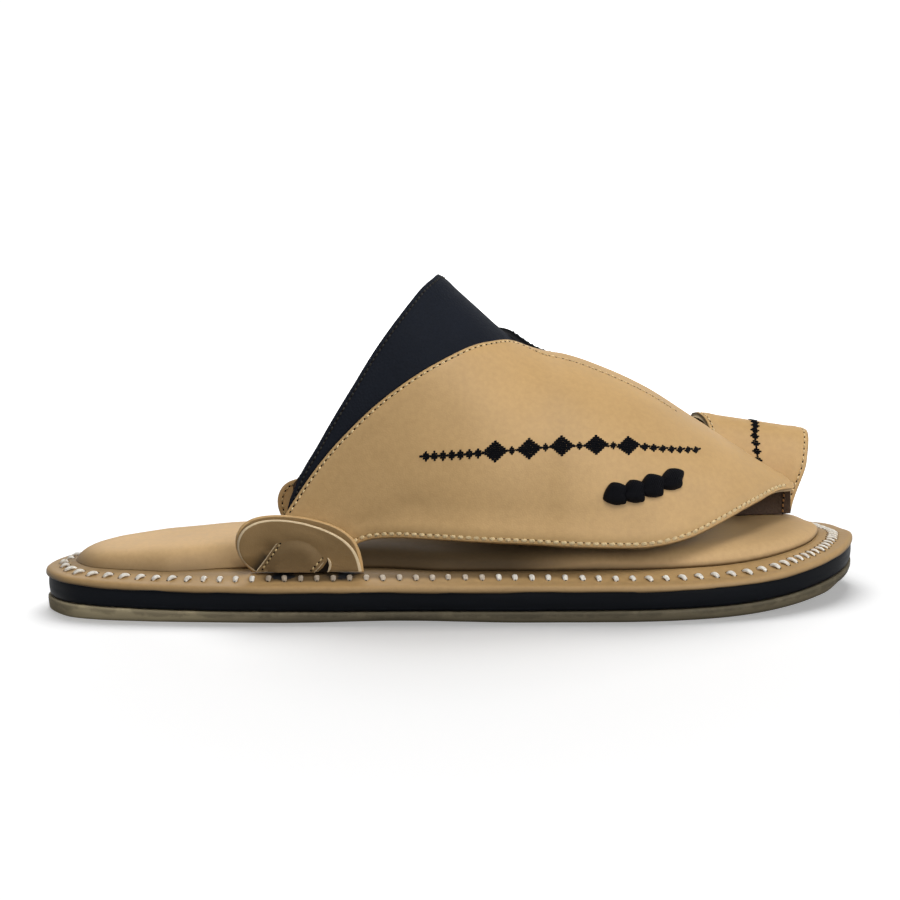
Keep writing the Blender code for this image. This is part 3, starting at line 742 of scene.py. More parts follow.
def rubber(name, rgb, roughness, smear_rgb, specular, heel_light_gain):
    """Sole edge with streaks along it, smears of another tone at its rim, and its heel end made lighter as
    painted light.
    """
    look = Look(name, rgb, roughness, specular)
    streaks = look.noise(420.0, 4.0, 0.6, look.drawn(0.12))
    colour = look.tones(streaks, rgb, 0.82, 1.15)
    patches = look.noise(130.0, 4.0, 0.65)
    both = look.node("Math", "Value", {0: look.mark(), 1: patches}, operation="MULTIPLY")
    colour = look.mix(look.spread(both, 0.0, 0.6, 0.36, 0.5), colour, smear_rgb)
    along = look.node("SeparateXYZ", "X", {"Vector": look.place})
    # Painted light: lighter towards the heel end
    heel = look.spread(along, heel_light_gain, 1.0, -0.14, -0.05)
    colour = look.mix(1.0, colour, heel, "MULTIPLY")
    rough = look.spread(streaks, roughness - 0.08, roughness + 0.1)
    grit = look.bump(look.noise(1500.0, 3.0, 0.6), 0.06, 0.6)
    normal = look.bump(streaks, 0.2, 0.5, grit)
    return look.done({"Base Color": colour, "Roughness": rough, "Normal": normal})


def suede(name, rgb):
    """Pigskin lining: napped, with dark pores in groups."""
    look = Look(name, rgb, 0.85, 0.2)
    cells = look.cells(1300.0)
    nap = look.noise(1400.0, 4.0, 0.7)
    colour = look.ramp(cells, (0.05, shade(rgb, 0.6)), (0.25, rgb))
    tint = look.ramp(nap, (0.3, (0.8, 0.8, 0.8)), (0.7, WHITE))
    colour = look.mix(1.0, colour, tint, "MULTIPLY")
    normal = look.bump(nap, 0.15, 0.8, look.bump(cells, 0.25, 0.8))
    return look.done({"Base Color": colour, "Normal": normal})


TAN_RGB = (0.55, 0.349, 0.149)
# Footbed's own paler tan, made lighter still as painted light on its upward face
BED_RGB = (0.765, 0.505, 0.245)
PALE_RGB = (0.66, 0.52, 0.33)
BLACK_RGB = (0.0105, 0.0128, 0.0190)
LINING_RGB = (0.096, 0.061, 0.041)
RUBBER_RGB = (0.0035, 0.0044, 0.0062)
OUTSOLE_RGB = (0.132, 0.110, 0.068)

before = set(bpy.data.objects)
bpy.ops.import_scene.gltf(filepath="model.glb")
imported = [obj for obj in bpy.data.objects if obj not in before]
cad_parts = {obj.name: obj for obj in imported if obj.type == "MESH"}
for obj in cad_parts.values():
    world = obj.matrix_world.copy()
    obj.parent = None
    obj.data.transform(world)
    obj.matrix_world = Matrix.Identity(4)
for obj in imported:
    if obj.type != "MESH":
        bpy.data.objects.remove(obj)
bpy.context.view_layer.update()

tan = leather("tan_leather", TAN_RGB, 0.5, 0.55, 0.05)
# Ear: a darker copy of the tan, as painted shade of its steep face; its marks take near-black painted shade
ear_tan = leather(
    "ear_leather", shade(TAN_RGB, 0.50), 0.6, 0.55, 0.05, edge_and_shade_rgb=shade(TAN_RGB, 0.06), specular=0.2,
)
# Inner ear: its marks take painted shade
inner_ear_tan = leather(
    "inner_ear_leather", shade(TAN_RGB, 0.9), 0.55, 0.55, 0.05, edge_and_shade_rgb=shade(TAN_RGB, 0.1),
)
flap_tan = leather("strap_end_leather", shade(TAN_RGB, 0.36), 0.6, 0.55, 0.05, specular=0.2)
# Footbed: its marks take painted shade
bed_tan = leather(
    "footbed_leather", BED_RGB, 0.58, 0.6, 0.05, edge_and_shade_rgb=shade(TAN_RGB, 0.15), specular=0.2,
)
# Welt: its marks take a dark tone, the lower border's own edge tone and painted shade under the ear, under
# the wing and at the heel
welt_tan = leather(
    "welt_leather", shade(TAN_RGB, 0.76), 0.55, 0.7, 0.06,
    edge_and_shade_rgb=shade(TAN_RGB, 0.11), paint_rgb=RUBBER_RGB,
)
black = leather("black_leather", BLACK_RGB, 0.66, 0.8, 0.24, 0.15, specular=0.05)
lining = suede("lining_pigskin", LINING_RGB)
cut_edge = leather("cut_edge", PALE_RGB, 0.75, 0.35, 0.08)
black_edge = leather("black_edge", (0.014, 0.014, 0.016), 0.75, 0.35, 0.08, specular=0.15)
outsole_rubber = rubber("outsole_rubber", OUTSOLE_RGB, 0.72, shade(OUTSOLE_RGB, 0.45), 0.2, 3.9)
midsole_rubber = rubber("midsole_rubber", RUBBER_RGB, 0.5, shade(RUBBER_RGB, 2.5), 0.07, 1.6)
cream = thread("cream_thread", (0.86, 0.66, 0.36), 0.6, 0.35)
waxed = thread("waxed_thread", (0.94, 0.87, 0.78), 0.45, 0.5)
# Thread under the ear: soiled, and darker as painted shade
soiled_shaded = thread("soiled_shaded_thread", (0.40, 0.33, 0.25), 0.6, 0.5)
# Thread under the wing: dimmer as painted shade
shade_dimmed = thread("shade_dimmed_thread", (0.66, 0.57, 0.46), 0.5, 0.5)
gold = thread("gold_thread", (0.58, 0.42, 0.20), 0.6, 0.35)
rust = thread("rust_thread", (0.42, 0.20, 0.06), 0.6, 0.35)
dark_thread = thread("black_thread", (0.004, 0.0042, 0.006), 0.6, 0.3, 0.07)
grey_thread = thread("grey_thread", (0.05, 0.047, 0.04), 0.6, 0.3, 0.1)
# Near-black painted shade inside the needle holes and the ear's slit
hole_shade = leather("hole_shade", (0.012, 0.008, 0.005), 0.9, 0.35, 0.05, 0.3, specular=0.05)


# Sole
TOE_BEVEL = 2.0  # how much the tread is worn thinner at the very tip
TOE_BEVEL_X = (131.0, 142.0)
# Sides of the two lower layers, upwards: distance in, height over the lower face, mark of the rim
TREAD_UNDER = ((1.9, 0.0, 0.1), (1.35, 0.12, 0.2), (0.85, 0.45, 0.3), (0.6, 0.95, 0.35))
MIDSOLE_SIDE = (
    (1.9, 0.0, 1.0), (1.1, 0.25, 1.0), (0.8, 0.9, 0.8), (0.62, 2.4, 0.4), (0.55, 3.7, 0.2),
    (0.6, 5.0, 0.3), (0.75, 6.5, 0.7), (1.1, 7.2, 1.0), (1.9, MIDSOLE_THICK, 1.0),
)
# Upper part of the tread's side, its height counted from the upper face
TREAD_OVER = ((0.45, -2.2, 0.7), (0.4, -1.0, 0.95), (0.45, -0.45, 1.0), (0.8, -0.1, 1.0), (1.6, 0.0, 1.0))


def tread_under(x):
    return sole_rise(x) + TOE_BEVEL * soft_step(x, *TOE_BEVEL_X)


def make_outsole():
    wobble = 0.25 * ripple(OUTLINE, SEED, 60.0)
    rings = []
    for side, level in ((TREAD_UNDER, tread_under), (TREAD_OVER, outsole_top)):
        for inset, lift, _ in side:
            xy = ring_at(inset + 0.25 + wobble * (inset < 1.5))
            rings.append(np.column_stack([xy, level(xy[:, 0]) + lift]))
    marks = [row[2] for row in TREAD_UNDER + TREAD_OVER]
    build_layer(rings, marks, "outsole_tread", outsole_rubber, "outsole_rubber", "outsole")


def make_midsole():
    wobble = 0.22 * ripple(OUTLINE, SEED + 1, 48.0)
    rings = []
    for inset, lift, _ in MIDSOLE_SIDE:
        xy = ring_at(inset + 0.2 + wobble)
        rings.append(np.column_stack([xy, midsole_bottom(xy[:, 0]) + lift]))
    marks = [row[2] for row in MIDSOLE_SIDE]
    build_layer(rings, marks, "midsole_edge", midsole_rubber, "midsole_rubber", "midsole")


def toe_share(x):
    """From 0 along the sides to 1 at the toe, where the stitches are closer and finer."""
    return soft_step(x, *WHIP_CROWD_X)


def seam_places():
    """Stitch places round the welt, as fractional points of the outline, and the phase between them."""
    ring = ring_at(SEAM_MIDDLE)
    closed = np.vstack([ring, ring[:1]])
    crowd = 1 + WHIP_CROWD * toe_share(closed[1:, 0])
    length = np.concatenate([[0.0], np.cumsum(np.linalg.norm(np.diff(closed, axis=0), axis=1) * crowd)])
    count = int(round(length[-1] / WHIP_PITCH))
    at = np.interp(np.arange(count) * length[-1] / count, length, np.arange(len(closed)))
    phase = 2 * np.pi * length[:-1] * count / length[-1]
    return at, phase


SEAM_AT, SEAM_PHASE = seam_places()
whip_lean = smooth(WHIP_LEAN)
welt_fall = smooth(WELT_FALL)
WELT_SLOPE = (12.0, 2.5)  # insets between which the welt's upper face slopes down


def welt_face(xy, inset):
    """Height of the welt's upper face, which slopes down to its edge."""
    return welt_top(xy[:, 0]) - welt_fall(xy[:, 0]) * soft_step(inset, *WELT_SLOPE)


def welt_pull(inset):
    """How far the whip stitches pull the welt down at a distance from its edge."""
    return 0.42 * bump_at(inset - SEAM_MIDDLE, 2.7) * (0.6 + 0.4 * np.cos(SEAM_PHASE))


def under_wing(xy):
    """Share of painted shade on the outer side, in the lee of the wing and of the ear."""
    return (xy[:, 1] < 0.0) * soft_span(xy[:, 0], WING_LEE)


def pad_soft(x):
    """From 0 along the footbed to 1 at the heel, where its edge slopes softly to the welt."""
    return soft_step(x, *PAD_SOFT_X[::-1])


WELT_INSETS = (2.4, 3.4, 4.4, 5.4, 6.2, 7.0, 7.8, 8.6, 9.4, 10.2, 11.0, 12.0, 13.4, 15.0, 18.5)
# Distance in, height from the upper face, share of the margin's fall, mark of the lower border
WELT_SIDE = (
    (1.6, -3.8, 0.0, 1.0), (0.75, -4.75, 0.0, 1.0), (0.4, -4.95, 0.0, 1.0), (0.1, -4.6, 0.1, 0.9),
    (0.0, -3.9, 0.3, 0.72), (0.0, -3.0, 0.5, 0.3), (0.1, -2.0, 0.7, 0.12), (0.35, -1.0, 0.9, 0.05),
    (0.8, -0.4, 1.0, 0.0), (1.5, -0.1, 1.0, 0.0),
)
WELT_HEEL_THIN = 0.14
WELT_HEEL_X = (-112.0, -142.0)
# Share of painted shade on the welt at the footbed's foot round the heel
WELT_HEEL_SHADE = 0.3
# Distances in over which the painted shade of the welt comes up
EAR_SHADE_INSET = (4.7, 6.7)
WING_SHADE_INSET = (6.4, 8.4)
HEEL_SHADE_INSET = (7.0, 10.0)


def make_welt():
    wobble = 0.2 * ripple(OUTLINE, SEED + 2, 55.0)
    border = ripple(OUTLINE, SEED + 4, 40.0)
    rings = []
    marks = [row[3] for row in WELT_SIDE]
    for inset, lift, share, mark in WELT_SIDE:
        xy = ring_at(inset + 0.15 + wobble)
        thin = 1 - WELT_HEEL_THIN * soft_step(xy[:, 0], *WELT_HEEL_X)
        z = welt_top(xy[:, 0]) + lift * thin - welt_fall(xy[:, 0]) * share
        rings.append(np.column_stack([xy, z + mark * 0.22 * border]))
    for inset in WELT_INSETS:
        xy = ring_at(inset)
        rings.append(np.column_stack([xy, welt_face(xy, inset) - welt_pull(inset)]))
        # Painted shade on the welt's inner margin under the ear and under the wing, and round the heel
        near = soft_span(xy[:, 0], EAR_LEE)
        band = UNDER_EAR_SHADE * near * soft_step(inset, *EAR_SHADE_INSET)
        band = band + UNDER_WING_SHADE * (1 - near) * soft_step(inset, *WING_SHADE_INSET)
        heel = WELT_HEEL_SHADE * pad_soft(xy[:, 0]) * soft_step(inset, *HEEL_SHADE_INSET)
        marks.append(np.maximum(band * under_wing(xy), heel))
    build_layer(rings, marks, "welt_leather", welt_tan, "tan_leather", "welt")


PAD_SHOULDER = 8.5  # width of the footbed's rounded edge
PAD_DROPS = (0.0, 0.06, 0.15, 0.3, 0.5, 0.8, 1.2, 1.8, 2.6, 3.6, 5.0, 6.6, PAD_SHOULDER)
PAD_HEEL_OUT = 1.5
# Painted shade on the footbed, its share and its reach: beside the straps, in the seam's line, round the
# heel
LEE_SHADE = (0.96, 13.0)
LINE_SHADE = (0.7, 0.4)
HEEL_SHADE = (0.74, 3.8)
# Footbed darker towards the toe, and the stations where that comes
FRONT_DARK = 0.3
FRONT_DARK_X = (20.0, 70.0)


def make_footbed():
    """Padded footbed: a crowned leather cover drawn down to the seam."""
    x, y = OUTLINE.T
    reach = inward(OUTLINE)[1][:, 0]
    rim = SEAM_MARGIN + strap_room(x) * (y < 0.0) - PAD_HEEL_OUT * pad_soft(x)
    room = RING_REACH * reach - rim - PAD_SHOULDER
    insets = [rim + drop for drop in PAD_DROPS]
    insets += [rim + PAD_SHOULDER + share * room for share in np.linspace(0.08, 1.0, 13)]
    under = ring_at(rim + 0.4)
    rings = [np.column_stack([under, welt_top(under[:, 0])])]
    marks = [1.0]
    for inset in insets:
        xy = ring_at(inset)
        deep = inset - rim
        soft = pad_soft(xy[:, 0])
        slope = 1.06 * (1 - np.exp(-deep / PAD_SOFT_RUN))
        tall = pad_height(xy[:, 0]) * (pad_share(deep) + soft * (slope - pad_share(deep)))
        uneven = 0.22 * ripple(xy, SEED + 3, 75.0) * ease(deep / 12.0)
        tuck = 0.10 * np.cos(SEAM_PHASE) * bump_at(deep - 1.5, 1.6)
        foot = welt_top(xy[:, 0]) + FIT_GAP * (1 - 0.9 * soft)
        rings.append(np.column_stack([xy, foot + tall + uneven + tuck * (1 - soft)]))
        # Painted shade: in the wing's lee, along the seam's crease, on the heel's sloping side
        lee = LEE_SHADE[0] * under_wing(xy) * bump_at(deep, LEE_SHADE[1])
        line = LINE_SHADE[0] * np.exp(-deep / LINE_SHADE[1]) * (1 - 0.6 * soft)
        heel = HEEL_SHADE[0] * soft * np.exp(-deep / HEEL_SHADE[1])
        # darker towards the toe
        toe_dark = FRONT_DARK * soft_step(xy[:, 0], *FRONT_DARK_X)
        marks.append(np.max([line, lee, heel, toe_dark], axis=0))
    pad = build_layer(rings, marks, "footbed_cover", bed_tan, "tan_leather", "footbed")


def within(x, span):
    return (x > span[0]) & (x < span[1])


def make_whip_stitches():
    """White waxed stitches round the welt, square to its edge at the sides and fanned to both ends."""
    random = np.random.default_rng(SEED)
    ends = [smooth(WHIP_ENDS, name)(OUTLINE[:, 0]) for name in ("inner", "outer")]
    closed = [np.vstack([ring, ring[:1]]) for ring in map(ring_at, ends)]
    shake = random.normal(0.0, 0.05, len(SEAM_AT))
    inner = read_rows(closed[0], SEAM_AT + shake)
    outer = read_rows(closed[1], SEAM_AT + shake)
    out = unit(outer - inner)
    lean = whip_lean(inner[:, 0]) * np.abs(out[:, 1]) + random.normal(0.0, 0.25, len(SEAM_AT))
    inner[:, 0] -= lean / 2
    outer[:, 0] += lean / 2
    inner += out * random.normal(0.0, 0.2, len(SEAM_AT))[:, None]
    outer += out * random.normal(0.0, 0.25, len(SEAM_AT))[:, None]
    depth = [np.interp(SEAM_AT, np.arange(len(OUTLINE)), end) for end in ends]
    start = np.column_stack([inner, welt_face(inner, depth[0]) - 0.1])
    end = np.column_stack([outer, welt_face(outer, depth[1]) - 0.1])
    up = unit(np.column_stack([0.2 * out, np.ones(len(out))]))
    # Thread slots: soiled and painted shade under the ear, painted shade under the wing
    outside = inner[:, 1] < 0.0
    look = 1 * (outside & within(inner[:, 0], UNDER_EAR))
    look += 2 * (outside & within(inner[:, 0], UNDER_WING))
    thin = 1 - WHIP_TOE_THIN * toe_share(inner[:, 0])
    wide = 1.08 * WHIP_WIDE * thin
    seam = Seam()
    tall = WHIP_TALL * thin
    add_threads(seam.threads, start, end, up, wide, tall, 0.8, look, sink=0.1, sections=9, around=10)
    run = unit(end - start)
    places = np.vstack([start, end]) + np.array([0.0, 0.0, 0.1])
    add_pits(seam.pits, places, np.vstack([up, up]), np.vstack([run, run]), 0.42, 0.38)
    seam.build("whip", [waxed, soiled_shaded, shade_dimmed], "tan_leather")


# Straps
wing_lower_height = smooth(WING_LOWER)
wing_upper_degrees = smooth(WING_UPPER)
medial_lower_height = smooth(MEDIAL_LOWER)
medial_upper_degrees = smooth(MEDIAL_UPPER)
WING_REAR_X = WING_LOWER["x"][0]
WING_FRONT_X = WING_LOWER["x"][-1]
MEDIAL_FRONT_X = MEDIAL_LOWER["x"][-1]


def wing_low(x):
    return degrees_at(x, wing_lower_height(x))


def wing_high(x):
    return np.minimum(wing_upper_degrees(x), 180.0 - degrees_at(x, bed_top(x)))


def medial_low(x):
    return degrees_at(x, medial_lower_height(x))


def from_edge(x, degrees, edge, post=False):
    """Distance on the leather from an edge."""
    return (degrees - edge(x)) * edge_scale(x, edge, post)


# Depth and width of a stitched edge's rolled rim, of its groove and of the swell inside it
EDGE_RIM = (0.32, 0.6)
EDGE_GROOVE = (0.24, 0.55)
EDGE_SWELL = (0.22, 1.8)
SWELL_INSET = 2.8  # from the groove


def sewn_edge(distance, inset=STITCH_INSET):
    """Rise and fall of leather by a stitched edge: rolled rim, seam groove, soft swell inside it."""
    rim = EDGE_RIM[0] * bump_at(distance, EDGE_RIM[1])
    groove = EDGE_GROOVE[0] * bump_at(distance - inset, EDGE_GROOVE[1])
    swell = EDGE_SWELL[0] * bump_at(distance - inset - SWELL_INSET, EDGE_SWELL[1])
    return swell - rim - groove


def crease_depth(x, height):
    total = 0.0
    for x0, h0, x1, h1, width, depth in zip(*CREASES.values()):
        run = np.array([x1 - x0, h1 - h0])
        share = ((x - x0) * run[0] + (height - h0) * run[1]) / (run @ run)
        share = np.clip(share, 0.0, 1.0)
        away = np.hypot(x - x0 - share * run[0], height - h0 - share * run[1])
        total = total + depth * bump_at(away, width)
    return total


def wing_lift(x, degrees):
    """Height of the tan wing's face over the last."""
    low = from_edge(x, degrees, wing_low, True)
    high = -from_edge(x, degrees, wing_high, True)
    near = np.minimum(np.minimum(low, high), WING_FRONT_X - x)
    flare = LOWER_FLARE * ease(1 - low / FLARE_RUN) * soft_span(x, FLARE_X)
    height = last_base(x, degrees, True)[..., 2]
    creases = crease_depth(x, height) * (degrees < 90.0)
    inset = np.where(high < low, UPPER_INSET, STITCH_INSET)
    return WING_OUTER + sewn_edge(np.maximum(near, 0.0), inset) + flare - creases


def wing_face(x, degrees):
    return last_point(x, degrees, wing_lift(x, degrees), True)


def edge_spacing(count):
    """Shares from 0 to 1, closer together at both ends."""
    share = np.linspace(0.0, 1.0, count)
    return share - 0.06 * np.sin(2 * np.pi * share)


loop_rear = smooth(LOOP, "rear_x")
loop_front = smooth(LOOP, "front_x")


def loop_base(share, around):
    """Inner face of the toe loop from its rear (0) to its front edge (1), round the toe."""
    slope = (LOOP_TOP_FRONT_Z - LOOP_TOP_REAR_Z) / (loop_front(0.5) - loop_rear(0.5))
    x = loop_rear(around) + share * (loop_front(around) - loop_rear(around))
    top = LOOP_TOP_REAR_Z + slope * (x - loop_rear(0.5))
    foot = np.where(around < 0.5, bed_top(x), welt_top(x) + FIT_GAP)
    turn = np.pi * around
    y = (LOOP_LATERAL_Y + LOOP_MEDIAL_Y) / 2 - (LOOP_MEDIAL_Y - LOOP_LATERAL_Y) / 2 * np.cos(turn)
    z = foot + (top - foot) * np.clip(np.sin(turn), 0.0, 1.0) ** LOOP_FULLNESS
    return np.stack(np.broadcast_arrays(x, y, z), axis=-1)


def loop_normal(share, around):
    small = 0.004
    across = loop_base(share + small, around) - loop_base(share - small, around)
    low = np.clip(around - small, 0.0, 1.0)
    high = np.clip(around + small, 0.0, 1.0)
    return unit(np.cross(across, loop_base(share, high) - loop_base(share, low)))


def loop_wide(around):
    return np.linalg.norm(loop_base(1.0, around) - loop_base(0.0, around), axis=-1)


def loop_lift(share, around):
    return LOOP_THICK + sewn_edge(np.minimum(share, 1 - share) * loop_wide(around))


def loop_face(share, around):
    return loop_base(share, around) + loop_lift(share, around)[..., None] * loop_normal(share, around)


def make_upper():
    """Tan wing with its toe post, and the toe loop sewn to the post."""
    piece = Piece()
    rear = np.linspace(WING_REAR_X, 84.0, 190)
    x = np.concatenate([rear, np.linspace(84.0, WING_FRONT_X, 96)[1:]])[:, None]
    share = edge_spacing(72)[None, :]
    degrees = wing_low(x) + share * (wing_high(x) - wing_low(x))
    x = np.broadcast_to(x, degrees.shape)
    x = x - soft_step(x, *FRONT_LEAN_X) * (wing_face(x, degrees)[..., 0] - x - FRONT_LEAN)
    add_sheet(piece, wing_face(x, degrees), last_normal(x, degrees, True), WING_THICK)
    across = edge_spacing(44)[:, None]
    around = np.linspace(0.0, 1.0, 90)[None, :]
    across, around = np.broadcast_arrays(across, around)
    add_sheet(piece, loop_face(across, around), loop_normal(across, around), LOOP_THICK)
    piece.build("wing_and_toe_loop", [tan, lining, cut_edge], "tan_leather", ["upper"])


panel_lateral_rear, panel_medial_rear, panel_front = (smooth(PANEL, name) for name in list(PANEL)[1:])


def panel_rear(degrees):
    side = np.minimum(degrees, 180.0 - degrees)
    return np.where(degrees > 90.0, panel_medial_rear(side), panel_lateral_rear(side))


def panel_step(degrees):
    """Length along x for each millimetre square to the panel's rear edge."""
    small = 0.5
    x = panel_rear(degrees)
    low = np.maximum(degrees - small, 0.0)
    high = np.minimum(degrees + small, 180.0)
    edge = unit(last_base(panel_rear(high), high, False) - last_base(panel_rear(low), low, False))
    along = last_base(x + small, degrees, False) - last_base(x - small, degrees, False)
    square = along - np.sum(along * edge, axis=-1, keepdims=True) * edge
    return 2 * small / np.linalg.norm(square, axis=-1)


def panel_face(x, degrees):
    inside = np.maximum(x - panel_rear(degrees), 0.0) / panel_step(degrees)
    return last_point(x, degrees, PANEL_THICK + sewn_edge(inside) * ease((6.0 - inside) / 3.0))


def make_instep_panel():
    piece = Piece()
    degrees = np.linspace(PANEL["degrees"][0], 180.0 - PANEL["degrees"][0], 171)[None, :]
    share = (np.linspace(0.0, 1.0, 60) ** 1.5)[:, None]
    side = np.minimum(degrees, 180.0 - degrees)
    x = panel_rear(degrees) + share * (panel_front(side) - panel_rear(degrees))
    degrees = np.broadcast_to(degrees, x.shape)
    add_sheet(piece, panel_face(x, degrees), last_normal(x, degrees), PANEL_THICK)
    piece.build("instep_leather", [black, lining, black_edge], "black_leather", ["instep_panel"])


def medial_face(x, degrees):
    """Face of the inner wing; its angle is counted from the inner side."""
    low = from_edge(x, degrees, medial_low)
    high = -from_edge(x, degrees, medial_upper_degrees)
    near = np.maximum(np.minimum(np.minimum(low, high), MEDIAL_FRONT_X - x), 0.0)
    return last_point(x, 180.0 - degrees, WING_OUTER + sewn_edge(near))


def make_medial_wing():
    piece = Piece()
    x = np.linspace(WING_REAR_X, MEDIAL_FRONT_X, 170)[:, None]
    share = edge_spacing(50)[None, :]
    degrees = medial_low(x) + share * (medial_upper_degrees(x) - medial_low(x))
    x = np.broadcast_to(x, degrees.shape)
    add_sheet(piece, medial_face(x, degrees), last_normal(x, 180.0 - degrees), WING_THICK)
    piece.build("inner_wing_leather", [black, lining, black_edge], "black_leather", ["medial_wing"])


# Ears
def tab_outline(rows, shift, foot, steps=6, base=30):
    """Ear that stands on its straight edge."""
    knots = np.column_stack([rows["x"] + shift, foot + rows["rise"]])
    arc = np.vstack([curve_through(knots, steps), knots[-1:]])
    low = np.linspace(arc[-1], arc[0], base + 2)[1:-1]
    return np.vstack([arc, low])


def flank_point(x, height, lift, inner):
    """Point off the side of the last at a station and height."""
    degrees = degrees_at(x, height)
    point = last_point(x, 180.0 - degrees if inner else degrees, lift)
    point[..., 2] = height
    return point


TAB_SHARES = [0.04, 0.2, 0.4, 0.6, 0.74, 0.85, 0.93, 0.965]
TAB_RIM = [(1.0, 0.8), (1.008, 0.5), (1.0, 0.2)]


def add_tab(piece, outline, back, front, inner, slots=(0, 1), painted_shade=None):
    """Leather tab on the side of the last; back and front give the lift of its faces."""
    middle = outline.mean(axis=0)
    rings = []
    marks = []
    plan = [(share, 1.0) for share in TAB_SHARES] + TAB_RIM
    plan += [(share, 0.0) for share in reversed(TAB_SHARES)]
    for share, depth in plan:
        x, z = (middle + share * (outline - middle)).T
        lift = back(x, z) + depth * (front(x, z) - back(x, z))
        rings.append(flank_point(x, z, lift, inner))
        marks.append(painted_shade(x, z) if painted_shade else 0.0 * x)
    count = len(outline)
    faces = grid_faces(len(rings), count, wrap=True)
    if inner:
        faces = faces[:, ::-1]
    band = np.arange(len(faces)) // count
    rim = (band >= len(TAB_SHARES) - 1) & (band < len(TAB_SHARES) + len(TAB_RIM))
    start = piece.count
    piece.add(np.array(rings), faces[~rim], slots[0], np.concatenate(marks))
    piece.add_faces((faces[rim] + start).tolist(), slots[1])
    caps = end_caps(start, len(rings), count)
    piece.add_faces([cap[::-1] for cap in caps] if inner else caps, slots[0])


# Strap end that comes through the ear: from its front foot over the soft arc to its rear foot
TAIL_FLAP = table(
    "x rise",
    (-46.2, 0.4), (-43.8, 2.8), (-41.9, 5.4), (-42.6, 7.6), (-44.6, 9.8), (-48.6, 12.2), (-53.0, 13.0),
    (-56.6, 12.9), (-58.6, 12.0), (-61.0, 9.2), (-64.6, 4.4), (-67.8, 0.4),
)
# Slit in front of it, a near-black sheet of painted shade, with a pale lip
SLIT = table("x rise", (-45.2, 0.4), (-43.2, 2.2), (-41.3, 4.8), (-40.9, 4.0), (-41.1, 2.0), (-41.8, 0.5))
LIP = table(
    "x rise",
    (-41.4, 5.6), (-40.6, 4.7), (-40.2, 3.2), (-40.6, 1.4), (-41.7, 0.3), (-41.0, 2.0), (-40.9, 4.2),
)
EAR_STAND = 1.8  # the ear's crown stands off the wing
EAR_CURL = 2.4  # and its rear end curls out
# Arc where the strap end leaves the ear: its middle, its half width and height, and their mean
ARC_MIDDLE = (-53.0, 2.4)
ARC_HALF = (11.2, 10.4)
ARC_MEAN = 10.8
# Ends of the seams on the strap end, as stations and heights over the welt
FLAP_SEAMS = (((-65.2, 1.4), (-58.2, 10.8)), ((-47.4, 1.2), (-43.2, 5.6)))


